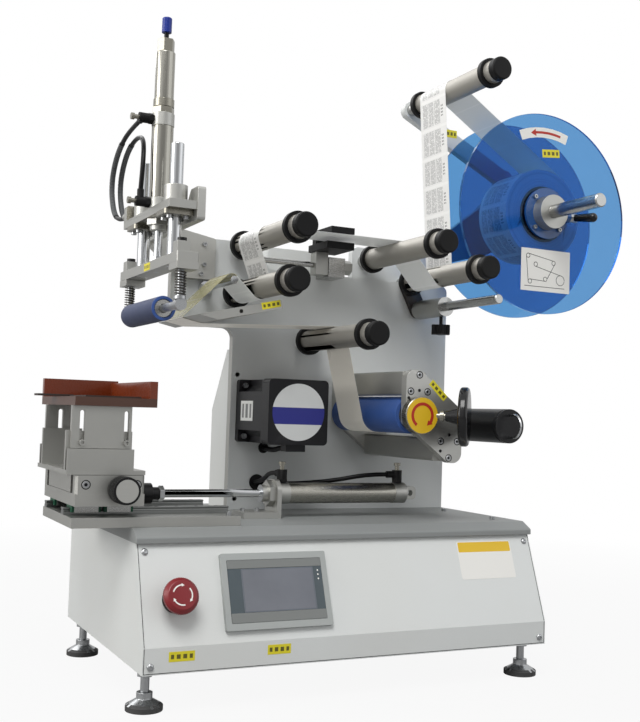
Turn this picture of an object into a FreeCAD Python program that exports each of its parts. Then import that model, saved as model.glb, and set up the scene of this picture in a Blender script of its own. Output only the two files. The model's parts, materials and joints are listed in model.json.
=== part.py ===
import FreeCAD, Part
import math
import os

from FreeCAD import Vector

os.makedirs("parts", exist_ok=True)

# Roll-on labeling machine. Millimetres, X to the right, Y to the rear, Z up, floor at Z = 0.
# Lengths are first set from the cabinet's left front corner and shifted to the origin at the end.

# cabinet
foot_height = 45.0
cabinet_width = 540.0
cabinet_depth = 350.0
kick_height = 29.0
panel_rise = 108.0
panel_run = 41.0
lid_height = 16.0
sheet = 2.0
lid_chamfer = 9.0
pan_clearance = 0.3

# levelling feet
foot_inset_x = 14.0
foot_inset_y = 33.0
foot_pad_radius = 21.0
foot_pad_thickness = 6.0
foot_stud_radius = 5.0

# main plate, its arm and the reel bracket
plate_front = 254.0
plate_thickness = 12.0
column_left = 190.0
plate_height = 338.0
arm_left = 97.0
arm_bottom = 251.0
arm_top = 373.0
arm_shoulder = 47.0
bracket_thickness = 12.0

# guide rollers: x from the cabinet's left side, z above the lid
roller_places = {
    "a": (476.0, 607.0),
    "b": (194.5, 365.0),
    "c": (186.5, 298.0),
    "d": (398.0, 365.0),
    "e": (465.0, 337.0),
    "f": (299.0, 239.0),
}
roller_length = 195.0
roller_radius = 15.0
roller_wall = 2.0
roller_gap = 15.0
collar_radius = 20.0
collar_width = 8.0
cap_radius = 15.6
cap_length = 12.0
collar_step = 12.0
axle_radius = 5.0
shoulder_radius = 9.0
running = 0.05
side_gap = 0.5

# web of labels
web_start = 149.0
web_width = 68.0
web_thickness = 0.3
web_gap = 0.4

# reel
reel_x = 637.5
reel_z = 445.0
reel_radius = 150.0
reel_disc_thickness = 5.0
reel_shaft_radius = 10.0
reel_shaft_front = 19.0
groove_width = 1.5
groove_depth = 0.6
roll_radius = 67.0
core_radius = 38.0
core_wall = 4.0
reel_collar_radius = 25.0
reel_collar_length = 22.0

# traction unit
drive_x = 390.5
drive_z = 137.0
drive_front = 45.0
side_plate_thickness = 12.0
drive_half_width = 43.0
drive_half_height = 59.5
drive_waist = 9.0
drive_corner = 13.0
drive_corner_offset = 28.0
traction_radius = 24.0
traction_offset = 25.5
traction_rise = 1.0
pinch_radius = 14.0
nip = 0.5
pinch_travel = 4.0
journal_radius = 6.0
pinch_axle_radius = 4.0

# handle that opens the pinch roller
hub_radius = 24.0
hub_thickness = 12.0
handle_tilt = 39.0
screw_sink = 4.3
handle_reach = 42.0
grip_radius = 38.0
grip_thickness = 12.0

# rewinder
rewind_x = 510.0
rewind_z = 127.5
rewind_radius = 23.0
rewind_front = 45.0
clip_radius = 1.75
clip_spread = 15.0
clip_reach = 24.0

# stepper motor
motor_x = 241.5
motor_z = 137.0
motor_size = 86.0
motor_length = 114.0
motor_shaft_radius = 7.0

# belt drive behind the plate
belt_front = 272.0
belt_width = 16.0
motor_pulley_radius = 15.0
drive_pulley_radius = 30.0
belt_thickness = 2.0
rear_cover_depth = 60.0

# press unit
press_x = 41.0
press_y = 137.0
press_rod_pitch = 124.0
press_rod_radius = 8.0
press_rod_length = 148.0
bushing_radius = 14.0
bushing_length = 37.0
bushing_flange = 37.0
bushing_flange_thickness = 6.0
bearing_plate_z = 369.0
bearing_plate_thickness = 10.0
bearing_plate_length = 190.0
bearing_plate_width = 34.0
crosshead_z = 303.0
crosshead_thickness = 12.0
crosshead_length = 236.0
crosshead_width = 26.0
spring_pitch = 207.0
spring_pin_radius = 4.0
spring_plate_thickness = 8.0
spring_cap_height = 13.0
spring_radius = 6.0
spring_wire = 0.9
spring_turns = 7
press_roller_z = 255.5
press_roller_radius = 15.0
press_roller_start = 95.0
press_roller_length = 134.0
press_axle_radius = 5.0
press_down = 30.0
press_up = 20.0
cushion_travel = 8.0

# pneumatic cylinders
barrel_radius = 13.5
barrel_bore = 12.5
piston_rod_radius = 5.0
head_length = 16.0
press_barrel_length = 90.0

# peel plate
peel_x = 80.0
peel_z = 251.5
peel_angle = 13.0
peel_length = 112.0
peel_thickness = 11.0
peel_nose = 24.0
peel_front = 90.0
peel_rod_x = 145.0
peel_rod_z = 303.5
peel_rod_radius = 5.0
peel_rod_front = 140.0

# label sensor
sensor_rod_y = 222.0
sensor_rod_z = 346.0
sensor_rod_radius = 4.0
sensor_x = 316.0
sensor_throat = 12.0

# web tension arm
dancer_x = 486.0
dancer_z = 297.0
dancer_rod_radius = 6.5
dancer_rod_front = 42.0
dancer_boss_radius = 14.0
dancer_boss_front = 172.0
dancer_arm_thickness = 9.0

# product table
table_left = -70.0
table_front = 58.0
table_length = 202.0
table_depth = 150.0
table_base_thickness = 11.5
rail_front = 105.0
rail_pitch = 90.0
rail_height = 8.0
rail_width = 12.0
carriage_left = -66.0
carriage_length = 80.0
carriage_front = 63.0
carriage_depth = 160.0
carriage_thickness = 14.0
rail_block_height = 12.0
rail_block_length = 34.0
cross_block_height = 21.0
cross_block_depth = 12.0
cross_travel = 10.0
cross_screw_radius = 4.0
knob_radius = 15.5
knob_length = 26.0
slide_gap = 0.5
bracket_left = -76.0
bracket_width = 76.0
height_travel = 20.0
upper_plate_thickness = 6.0
upper_plate_top = 136.5
nest_left = -70.0
nest_width = 95.0
nest_depth = 180.0
nest_thickness = 10.0
fence_height = 20.0
fence_thickness = 9.0

# table cylinder
table_cylinder_y = 150.0
table_cylinder_z = 31.0
table_barrel_start = 233.0
table_barrel_length = 158.0
table_stroke = 100.0

# front panel
estop_x = 40.0
estop_up = 51.0
estop_radius = 20.0
estop_travel = 5.0
hmi_x = 96.0
hmi_width = 134.0
hmi_height = 88.0
hmi_depth = 6.0
hmi_up = 12.0

# heights and places that follow
cabinet_z = foot_height
lid_z = cabinet_z + kick_height + panel_rise + lid_height
plate_back = plate_front + plate_thickness
web_end = web_start + web_width
panel_angle = math.atan2(panel_run, panel_rise)


def box(x0, x1, y0, y1, z0, z1):
    return Part.makeBox(x1 - x0, y1 - y0, z1 - z0, Vector(x0, y0, z0))


def rod_x(x0, x1, y, z, r):
    return Part.makeCylinder(r, x1 - x0, Vector(x0, y, z), Vector(1, 0, 0))


def rod_y(y0, y1, x, z, r):
    return Part.makeCylinder(r, y1 - y0, Vector(x, y0, z), Vector(0, 1, 0))


def rod_z(z0, z1, x, y, r):
    return Part.makeCylinder(r, z1 - z0, Vector(x, y, z0), Vector(0, 0, 1))


def cone_y(y0, y1, x, z, r0, r1):
    return Part.makeCone(r0, r1, y1 - y0, Vector(x, y0, z), Vector(0, 1, 0))


def tube_y(y0, y1, x, z, r, bore):
    return rod_y(y0, y1, x, z, r).cut(rod_y(y0 - 1, y1 + 1, x, z, bore))


def tube_z(z0, z1, x, y, r, bore):
    return rod_z(z0, z1, x, y, r).cut(rod_z(z0 - 1, z1 + 1, x, y, bore))


def tube_x(x0, x1, y, z, r, bore):
    return rod_x(x0, x1, y, z, r).cut(rod_x(x0 - 1, x1 + 1, y, z, bore))


def rounded_face(corners, place):
    """Face through corners (a, b, radius), with place turning (a, b) into a vector."""
    count = len(corners)
    starts, ends, arcs = [], [], []
    for i, (a, b, radius) in enumerate(corners):
        here = place(a, b)
        if radius <= 0:
            starts.append(here)
            ends.append(here)
            arcs.append(None)
            continue
        before = place(*corners[i - 1][:2]).sub(here)
        after = place(*corners[(i + 1) % count][:2]).sub(here)
        before.normalize()
        after.normalize()
        half = before.getAngle(after) / 2
        reach = radius / math.tan(half)
        middle = before.add(after)
        middle.normalize()
        starts.append(here.add(before * reach))
        ends.append(here.add(after * reach))
        arcs.append(here.add(middle * (radius / math.sin(half) - radius)))
    edges = []
    for i in range(count):
        if arcs[i] is not None:
            edges.append(Part.Arc(starts[i], arcs[i], ends[i]).toShape())
        goal = starts[(i + 1) % count]
        if ends[i].distanceToPoint(goal) > 1e-6:
            edges.append(Part.LineSegment(ends[i], goal).toShape())
    return Part.Face(Part.Wire(edges))


def plate_xz(corners, y0, y1):
    face = rounded_face(corners, lambda a, b: Vector(a, y0, b))
    return face.extrude(Vector(0, y1 - y0, 0))


def plate_yz(corners, x0, x1):
    face = rounded_face(corners, lambda a, b: Vector(x0, a, b))
    return face.extrude(Vector(x1 - x0, 0, 0))


def plate_xy(corners, z0, z1):
    face = rounded_face(corners, lambda a, b: Vector(a, b, z0))
    return face.extrude(Vector(0, 0, z1 - z0))


def slab_xz(x0, x1, z0, z1, radius, y0, y1):
    return plate_xz([(x0, z0, radius), (x1, z0, radius), (x1, z1, radius), (x0, z1, radius)], y0, y1)


def slab_xy(x0, x1, y0, y1, radius, z0, z1):
    return plate_xy([(x0, y0, radius), (x1, y0, radius), (x1, y1, radius), (x0, y1, radius)], z0, z1)


def bar_xz(start, end, width, y0, y1):
    """Bar with round ends between two points (x, z)."""
    along = Vector(end[0] - start[0], 0, end[1] - start[1])
    length = along.Length
    across = Vector(-along.z, 0, along.x)
    across.normalize()
    side = across * (width / 2)
    p = Vector(start[0], y0, start[1])
    q = Vector(end[0], y0, end[1])
    loop = Part.makePolygon([p.add(side), q.add(side), q.sub(side), p.sub(side), p.add(side)])
    bar = Part.Face(loop).extrude(Vector(0, y1 - y0, 0))
    if length > 0:
        for x, z in (start, end):
            bar = bar.fuse(rod_y(y0, y1, x, z, width / 2))
    return bar.removeSplitter()


def hexagon(centre, direction, across_flats, height):
    """Hexagonal prism from centre along direction."""
    radius = across_flats / math.sqrt(3)
    points = []
    for i in range(7):
        turn = math.radians(60 * i)
        points.append(Vector(radius * math.cos(turn), radius * math.sin(turn), 0))
    prism = Part.Face(Part.makePolygon(points)).extrude(Vector(0, 0, height))
    prism.Placement = FreeCAD.Placement(centre, FreeCAD.Rotation(Vector(0, 0, 1), direction))
    return prism


def cap_screw(face, direction, size):
    """Socket head of a screw that stands on face, with direction out of the surface."""
    head = Part.makeCylinder(0.75 * size, size, face, direction)
    socket = hexagon(face.add(direction * (0.45 * size)), direction, 0.8 * size, size)
    return head.cut(socket)


def cut_all(shape, tools):
    for tool in tools:
        shape = shape.cut(tool)
    return shape


def fuse_all(shapes):
    result = shapes[0]
    for shape in shapes[1:]:
        result = result.fuse(shape)
    return result.removeSplitter()


def panel_point(x, up, out):
    """Point on the sloping front panel: up along the slope from its bend and out of its face."""
    y = up * math.sin(panel_angle) - out * math.cos(panel_angle)
    z = cabinet_z + kick_height + up * math.cos(panel_angle) + out * math.sin(panel_angle)
    return Vector(x, y, z)


panel_out = Vector(0, -math.cos(panel_angle), math.sin(panel_angle))
panel_turn = FreeCAD.Rotation(Vector(1, 0, 0), -math.degrees(panel_angle))


def panel_slab(x0, x1, up0, up1, out0, out1, radius):
    """Rounded slab that lies on the sloping panel."""
    slab = slab_xz(x0, x1, up0, up1, radius, -out1, -out0)
    slab.Placement = FreeCAD.Placement(Vector(0, 0, cabinet_z + kick_height), panel_turn)
    return slab


def panel_rod(x, up, out0, out1, r):
    return Part.makeCylinder(r, out1 - out0, panel_point(x, up, out0), panel_out)


def hose(points, diameter, name):
    """Tube of straight runs joined by tangent arcs."""
    nodes = [Vector(*p) for p in points]
    edges = []
    radii = []
    length = 0.0
    last = nodes[0]
    for i in range(1, len(nodes) - 1):
        back = nodes[i - 1].sub(nodes[i])
        ahead = nodes[i + 1].sub(nodes[i])
        reach = 0.45 * min(back.Length, ahead.Length)
        back.normalize()
        ahead.normalize()
        half = back.getAngle(ahead) / 2
        radius = reach * math.tan(half)
        radii.append(radius)
        start = nodes[i].add(back * reach)
        end = nodes[i].add(ahead * reach)
        middle = back.add(ahead)
        middle.normalize()
        top = nodes[i].add(middle * (radius / math.sin(half) - radius))
        edges.append(Part.LineSegment(last, start).toShape())
        edges.append(Part.Arc(start, top, end).toShape())
        last = end
    edges.append(Part.LineSegment(last, nodes[-1]).toShape())
    path = Part.Wire(edges)
    length = path.Length
    first = nodes[1].sub(nodes[0])
    first.normalize()
    circle = Part.Wire(Part.Circle(nodes[0], first, diameter / 2).toShape())
    tube = path.makePipeShell([circle], True, True)
    ratio = tube.Volume / (math.pi * diameter ** 2 / 4 * length)
    print(name, "length", round(length, 1), "volume ratio", round(ratio, 4),
          "radii", [round(r, 1) for r in radii])
    return tube


parts = {}


def add(name, solids):
    parts.setdefault(name, []).extend(solids)


def cabinet():
    w, d = cabinet_width, cabinet_depth
    z0, z1 = cabinet_z, lid_z - lid_height
    bend = z0 + kick_height
    profile = [(0, z0, 0), (0, bend, 0), (panel_run, z1, 0), (d, z1, 0), (d, z0, 0)]
    outer = plate_yz(profile, 0, w)
    t = sheet
    slope_t = t / math.cos(panel_angle)
    inner = plate_yz([(t, z0 - 1, 0), (t, bend, 0), (panel_run + slope_t, z1 + 1, 0),
                      (d - t, z1 + 1, 0), (d - t, z0 - 1, 0)], t, w - t)
    shell = outer.cut(inner)
    estop_hole = panel_rod(estop_x, estop_up, -20, 20, 11.2)
    hmi_hole = panel_slab(hmi_x + 6, hmi_x + hmi_width - 6, hmi_up + 6, hmi_up + hmi_height - 6, -20, 20, 1)
    inlet_hole = box(60, 108, d - 5, d + 5, z0 + 40, z0 + 68)
    slots = [box(w - 5, w + 5, 40 + 10 * i, 44 + 10 * i, z0 + 26, z0 + 58) for i in range(5)]
    shell = cut_all(shell, [estop_hole, hmi_hole, inlet_hole] + slots)
    add("cabinet_shell", [shell])

    g = pan_clearance
    rim = box(t + g, w - t - g, t + g, d - t - g, z0, z0 + 14)
    rim = rim.cut(box(2 * t + g, w - 2 * t - g, 2 * t + g, d - 2 * t - g, z0 + t, z0 + 15))
    for x in foot_xs():
        for y in foot_ys():
            rim = rim.cut(rod_z(z0 - 1, z0 + t + 1, x, y, foot_stud_radius + 0.3))
    add("cabinet_shell", [rim])

    top = lid_z
    low = z1
    over = 1.5
    lid_outer = plate_yz([(panel_run - over - 4, low, 0), (panel_run - over - 4, top - lid_chamfer, 3),
                          (panel_run + 12, top, 5), (d + over, top, 2), (d + over, low, 0)], -over, w + over)
    lid_inner = plate_yz([(panel_run, low - 1, 0), (panel_run, top - lid_chamfer - 1, 0),
                          (panel_run + 14, top - t - 1, 0), (d - t, top - t - 1, 0), (d - t, low - 1, 0)],
                         t, w - t)
    lid = lid_outer.cut(lid_inner)
    add("cabinet_lid", [lid])


def foot_xs():
    return (foot_inset_x, cabinet_width - foot_inset_x)


def foot_ys():
    return (foot_inset_y, cabinet_depth - foot_inset_y)


def feet():
    solids = []
    for x in foot_xs():
        for y in foot_ys():
            pad = rod_z(0, foot_pad_thickness, x, y, foot_pad_radius)
            dome = Part.makeCone(foot_pad_radius, 9, 7, Vector(x, y, foot_pad_thickness), Vector(0, 0, 1))
            socket = rod_z(foot_pad_thickness + 7, foot_pad_thickness + 14, x, y, 9)
            base = fuse_all([pad, dome, socket])
            stud = rod_z(foot_pad_thickness + 14, cabinet_z + 22, x, y, foot_stud_radius)
            nut_low = hexagon(Vector(x, y, cabinet_z - 8), Vector(0, 0, 1), 16, 8).cut(stud)
            nut_high = hexagon(Vector(x, y, cabinet_z + sheet), Vector(0, 0, 1), 16, 8).cut(stud)
            solids += [base, stud, nut_low, nut_high]
    add("levelling_feet", solids)


def panel_items():
    body = panel_rod(estop_x, estop_up, -34, -sheet, 10.9).fuse(panel_rod(estop_x, estop_up, -sheet, 0, 10.9))
    flange = panel_rod(estop_x, estop_up, 0, 4, 15)
    neck = panel_rod(estop_x, estop_up, 4, 9, 12)
    base = fuse_all([body, flange, neck]).cut(panel_rod(estop_x, estop_up, -10, 10, 4 + running))
    nut = hexagon(panel_point(estop_x, estop_up, -sheet - 5), panel_out, 28, 5)
    nut = nut.cut(panel_rod(estop_x, estop_up, -12, 2, 10.9))
    add("estop_base", [base, nut])
    stem = panel_rod(estop_x, estop_up, -4, 16, 4)
    low = 10 + estop_travel
    head = fuse_all([panel_rod(estop_x, estop_up, low, low + 4, estop_radius - 1.5),
                     panel_rod(estop_x, estop_up, low + 4, low + 9, estop_radius), stem])
    dome = Part.makeCone(estop_radius, estop_radius - 4, 4, panel_point(estop_x, estop_up, low + 9), panel_out)
    add("estop_head", [head.fuse(dome).removeSplitter()])

    x0, x1 = hmi_x, hmi_x + hmi_width
    u0, u1 = hmi_up, hmi_up + hmi_height
    bezel = panel_slab(x0, x1, u0, u1, 0, hmi_depth, 2)
    screen_space = panel_slab(x0 + 7, x1 - 7, u0 + 8, u1 - 8, hmi_depth - 1.5, hmi_depth + 1, 1)
    case = panel_slab(x0 + 6.5, x1 - 6.5, u0 + 6.5, u1 - 6.5, -30, 0, 1)
    add("touch_panel", [bezel.fuse(case).cut(screen_space).removeSplitter()])
    add("touch_panel", [panel_slab(x0 + 7.2, x1 - 7.2, u0 + 8.2, u1 - 8.2, hmi_depth - 1.5, hmi_depth - 0.3, 1)])


def cabinet_fittings():
    z0 = cabinet_z
    w, d = cabinet_width, cabinet_depth
    flange = slab_xz(56, 112, z0 + 36, z0 + 72, 4, d, d + 4)
    socket = flange.fuse(box(61, 107, d - 28, d, z0 + 41, z0 + 67))
    socket = socket.cut(slab_xz(72, 98, z0 + 44, z0 + 64, 3, d - 18, d + 5))
    for x in (79, 85, 91):
        socket = socket.fuse(box(x - 1, x + 1, d - 18, d - 2, z0 + 52, z0 + 57))
    grommets = []
    for x, z, r in cable_holes:
        plug = rod_y(plate_front, plate_back, x, z, r).fuse(rod_y(plate_front - 2, plate_front, x, z, r + 2))
        grommets.append(plug.removeSplitter())
    add("cabinet_fittings", [vent_cowl(w, z0), socket.removeSplitter()] + grommets)


def vent_cowl(w, z0):
    """Louvred cowl over the slots in the right wall."""
    outer = box(w, w + 7, 34, 92, z0 + 20, z0 + 64)
    hollow = box(w - 1, w + 5.5, 35.5, 90.5, z0 + 18, z0 + 62.5)
    cowl = outer.cut(hollow)
    for i in range(4):
        cowl = cowl.cut(box(w + 4, w + 8, 42, 84, z0 + 25 + 8 * i, z0 + 28 + 8 * i))
    return cowl


def control_modules():
    z = cabinet_z + sheet
    supply = box(40, 155, 120, 320, z, z + 40)
    driver = box(200, 234, 150, 300, z, z + 96)
    fins = [box(234, 240, 152 + 12 * i, 155 + 12 * i, z + 4, z + 92) for i in range(12)]
    driver = fuse_all([driver] + fins)
    controller = box(290, 384, 190, 280, z, z + 62)
    valves = box(430, 500, 200, 226, z, z + 20)
    for i in range(2):
        valves = valves.fuse(box(436 + 32 * i, 458 + 32 * i, 196, 300, z + 20, z + 48))
    add("control_modules", [supply, driver, controller, valves.removeSplitter()])


def plate_corners():
    x1 = cabinet_width
    z0 = lid_z
    top = z0 + plate_height
    return [(column_left, z0, 0), (x1, z0, 0), (x1, top, 10), (column_left + 52, top, 6),
            (column_left + 34, z0 + arm_top, 6), (arm_left + arm_shoulder, z0 + arm_top, 5),
            (arm_left, z0 + arm_top - 52, 5), (arm_left, z0 + arm_bottom, 4),
            (column_left, z0 + arm_bottom, 14)]


def frame_plate():
    plate = plate_xz(plate_corners(), plate_front, plate_back)
    holes = []
    for name in "bcf":
        x, z = roller_places[name]
        holes.append(rod_y(plate_front - 1, plate_back + 1, x, lid_z + z, axle_radius))
    x, z = roller_places["e"]
    holes.append(rod_y(plate_front - 1, plate_back + 1, x, lid_z + z, shoulder_radius + side_gap))
    holes.append(rod_y(plate_front - 1, plate_back + 1, motor_x, lid_z + motor_z, 37))
    holes.append(rod_y(plate_front - 1, plate_back + 1, traction_x(), traction_z(), journal_radius + 2))
    holes.append(rod_y(plate_front - 1, plate_back + 1, rewind_x, lid_z + rewind_z, 8))
    for x, z, r in cable_holes:
        holes.append(rod_y(plate_front - 1, plate_back + 1, x, z, r))
    for x, z in plate_spare_holes:
        holes.append(rod_y(plate_front - 1, plate_back + 1, x, lid_z + z, 3.3))
    plate = cut_all(plate, holes)
    add("main_plate", [plate])

    feet_solids = []
    for x0 in (column_left + 20, cabinet_width - 60):
        profile = [(plate_back, lid_z, 0), (plate_back + 50, lid_z, 0), (plate_back + 50, lid_z + 6, 0),
                   (plate_back + 6, lid_z + 50, 0), (plate_back, lid_z + 50, 0)]
        rib = plate_yz(profile, x0 + 17, x0 + 23)
        base = box(x0, x0 + 40, plate_back, plate_back + 50, lid_z, lid_z + 6)
        wall = box(x0, x0 + 40, plate_back, plate_back + 6, lid_z, lid_z + 50)
        feet_solids.append(fuse_all([base, wall, rib]))
    add("main_plate", feet_solids)


cable_holes = [(241.5, 284.0, 5.5), (233.0, 236.0, 9.0)]
bracket_rollers = "ade"
bracket_outline = [(380, 307, 8), (380, 386, 10), (472, 387, 30), (551, 429, 10), (605, 470, 2),
                   (660, 420, 2), (621, 397, 2), (553, 378, 12), (524, 358, 12), (524, 307, 8)]
plate_spare_holes = [(199.0, 187.0), (201.0, 15.0), (520.0, 300.0), (215.0, 330.0)]


def reel_bracket():
    y0, y1 = plate_back, plate_back + bracket_thickness
    ax, az = roller_places["a"]
    a = (ax, lid_z + az)
    hub = (reel_x, lid_z + reel_z)
    knee = (reel_x + 14, lid_z + reel_z + 76)
    outline = [(x, lid_z + z, r) for x, z, r in bracket_outline]
    shape = fuse_all([
        bar_xz(a, knee, 26, y0, y1),
        bar_xz(knee, hub, 30, y0, y1),
        plate_xz(outline, y0, y1),
        rod_y(y0, y1, hub[0], hub[1], 42),
    ])
    shape = shape.cut(rod_y(y0 - 1, y1 + 1, hub[0], hub[1], 17))
    for name in bracket_rollers:
        x, z = roller_places[name]
        shape = shape.cut(rod_y(y0 - 1, y1 + 1, x, lid_z + z, axle_radius))
    housing = tube_y(y0 - 20, y1 + 22, hub[0], hub[1], 17, reel_shaft_radius + running)
    flange = tube_y(y0 - 20, y0, hub[0], hub[1], 30, 17)
    add("reel_bracket", [shape, housing, flange])


def rear_cover():
    t = 1.5
    y1 = plate_back + rear_cover_depth
    x0, x1 = column_left, cabinet_width
    z0 = lid_z
    zs = z0 + 138
    zt = z0 + 222
    outer = plate_yz([(plate_back, z0, 0), (y1, z0, 0), (y1, zs, 0), (plate_back + 8, zt, 0),
                      (plate_back, zt, 0)], x0, x1)
    inner = plate_yz([(plate_back - 1, z0 - 1, 0), (y1 - t, z0 - 1, 0), (y1 - t, zs - 1, 0),
                      (plate_back + 8 - t, zt - t, 0), (plate_back - 1, zt - t, 0)], x0 + t, x1 - t)
    cover = outer.cut(inner)
    for i in range(6):
        cover = cover.cut(box(x0 + 60 + 30 * i, x0 + 64 + 30 * i, y1 - 4, y1 + 2, z0 + 20, z0 + 60))
    top = box(245, 318, plate_back, plate_back + 34, z0 + plate_height - 24, z0 + plate_height + 34)
    top = top.cut(box(246.5, 316.5, plate_back + t, plate_back + 34 - t, z0 + plate_height - 30,
                      z0 + plate_height + 34 - t))
    top = top.cut(box(260, 303, plate_back - 1, plate_back + 5, z0 + plate_height - 30, z0 + plate_height - 3))
    add("rear_cover", [cover, top])


def traction_x():
    return drive_x - traction_offset


def traction_z():
    return lid_z + drive_z + traction_rise


def pinch_x():
    return traction_x() + traction_radius + pinch_radius + nip


def drive_outline(grow):
    x0, x1 = drive_x - drive_half_width - grow, drive_x + drive_half_width + grow
    zc = lid_z + drive_z
    z0, z1 = zc - drive_half_height - grow, zc + drive_half_height + grow
    return [(x0, zc - drive_waist, 5), (x0 + 66, z0, drive_corner), (x1, z0, drive_corner),
            (x1, zc + drive_waist, 5), (x1 - 66, z1, drive_corner), (x0, z1, drive_corner)]


def beam_centres():
    zc = lid_z + drive_z
    return ((drive_x - 23.5, zc + 40.5), (drive_x + 23.5, zc - 40.5))


def drive_screws():
    """Three counterbored screws into each end of the two beams."""
    places = []
    for sign, (cx, cz) in zip((1, -1), beam_centres()):
        for dx, dz in ((0, 12.5), (-12.5, -9), (12.5, -9)):
            places.append((cx + sign * dx, cz + sign * dz))
    return places


def drive_frame():
    y0, y1 = drive_front, drive_front + side_plate_thickness
    y2, y3 = plate_front - side_plate_thickness, plate_front
    solids = []
    for a, b in ((y0, y1), (y2, y3)):
        side = plate_xz(drive_outline(0), a, b)
        side = side.cut(rod_y(a - 1, b + 1, traction_x(), traction_z(), journal_radius + running))
        slot = bar_xz((pinch_x(), traction_z()), (pinch_x() + pinch_travel, traction_z()),
                      2 * (pinch_axle_radius + running), a - 1, b + 1)
        side = side.cut(slot)
        if a == y0:
            side = cut_all(side, [rod_y(y0 - 1, y0 + screw_sink, sx, sz, 3.3) for sx, sz in drive_screws()])
        solids.append(side)
    (tx, tz), (bx, bz) = beam_centres()
    top = slab_xz(tx - 18.5, tx + 17, tz - 14.5, tz + 17, 3, y1, y2)
    top = top.cut(slab_xz(tx - 10, tx + 20, tz - 16, tz + 6, 1, y1 + 20, y2 - 20))
    low = slab_xz(bx - 17, bx + 18.5, bz - 17, bz + 13, 3, y1, y2)
    solids += [top, low]
    add("drive_frame", solids)

    return [cap_screw(Vector(sx, y0 + screw_sink, sz), Vector(0, -1, 0), 4) for sx, sz in drive_screws()]


def traction():
    x, z = traction_x(), traction_z()
    y0 = drive_front + side_plate_thickness + side_gap
    y1 = plate_front - side_plate_thickness - side_gap
    core = rod_y(y0 + 1.5, y1 - 1.5, x, z, traction_radius - 5)
    cover = tube_y(y0 + 1.5, y1 - 1.5, x, z, traction_radius, traction_radius - 5)
    journal_front = drive_front - hub_thickness + 2
    shaft = fuse_all([core, rod_y(journal_front, belt_front + belt_width + 4, x, z, journal_radius)])
    add("traction_roller", [cover])
    pulley = tube_y(belt_front - 1, belt_front + belt_width + 1, x, z, drive_pulley_radius, journal_radius)
    add("traction_roller", [shaft, pulley])

    px = pinch_x()
    roller = tube_y(y0 + 1.5, y1 - 1.5, px, z, pinch_radius, pinch_axle_radius + running)
    add("pinch_roller", [roller])
    add("pinch_axle", [rod_y(drive_front + 1, plate_front - 0.5, px, z, pinch_axle_radius)])


def pinch_handle():
    c = Vector(traction_x(), 0, traction_z())
    y1 = drive_front - 0.3
    y0 = y1 - hub_thickness
    hub = rod_y(y0, y1, c.x, c.z, hub_radius)
    hub = hub.makeChamfer(1.0, [e for e in hub.Edges if abs(e.BoundBox.YMin - y0) < 0.01
                                and abs(e.BoundBox.YMax - y0) < 0.01])
    tilt = math.radians(handle_tilt)
    out = Vector(math.cos(tilt), -math.sin(tilt), 0)
    start = Vector(c.x + hub_radius - 6, (y0 + y1) / 2 + 1, c.z)
    stud = Part.makeCylinder(4, 18, start, out)
    nut = Part.makeCylinder(7, 5, start.add(out * 11), out)
    neck = handle_reach - 18 - grip_thickness / 2
    r, t = grip_radius, grip_thickness
    disc = Part.makeCylinder(r, t, Vector(0, 0, neck))
    disc = disc.makeFillet(t * 0.35, [e for e in disc.Edges if e.BoundBox.ZLength < 0.1])
    grip = fuse_all([Part.makeCone(6.5, 11, neck), disc])
    grip.Placement = FreeCAD.Placement(start.add(out * 18), FreeCAD.Rotation(Vector(0, 0, 1), out))
    bore = rod_y(y0 + 1.5, y1 + 1, c.x, c.z, journal_radius + running)
    metal = fuse_all([hub, stud]).cut(bore)
    nut = nut.cut(stud).cut(hub)
    add("pinch_handle", [metal, nut])
    add("pinch_handle", [grip])


def rewinder():
    x, z = rewind_x, lid_z + rewind_z
    y1 = plate_front - 14
    drum = rod_y(rewind_front, y1, x, z, rewind_radius)
    drum = drum.cut(rod_y(rewind_front - 1, y1 - 8, x, z, rewind_radius - 12))
    drum = drum.fuse(rod_y(rewind_front, rewind_front + 6, x, z, rewind_radius - 11))
    clip_depth = 150.0
    for side in (-1, 1):
        drum = drum.cut(rod_y(rewind_front - 1, rewind_front + clip_depth + 1, x, z + side * clip_spread,
                              clip_radius + running))
    groove = tube_y(rewind_front + 4, rewind_front + 6, x, z, rewind_radius + 1, rewind_radius - 0.8)
    shaft = rod_y(y1 - 8, plate_back + 10, x, z, 6)
    add("rewind_drum", [drum.cut(groove).fuse(shaft).removeSplitter()])
    housing = tube_y(plate_front - 13, plate_front, x, z, 30, 6 + running)
    legs = [rod_y(rewind_front - clip_reach + clip_spread, rewind_front + clip_depth, x, z + s * clip_spread,
                  clip_radius) for s in (-1, 1)]
    bend = Part.makeTorus(clip_spread, clip_radius, Vector(x, rewind_front - clip_reach + clip_spread, z),
                          Vector(1, 0, 0))
    bend = bend.common(box(x - 10, x + 10, rewind_front - clip_reach - 5, rewind_front - clip_reach + clip_spread,
                           z - 30, z + 30))
    add("liner_clip", [fuse_all([legs[0], bend, legs[1]])])
    return housing


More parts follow.
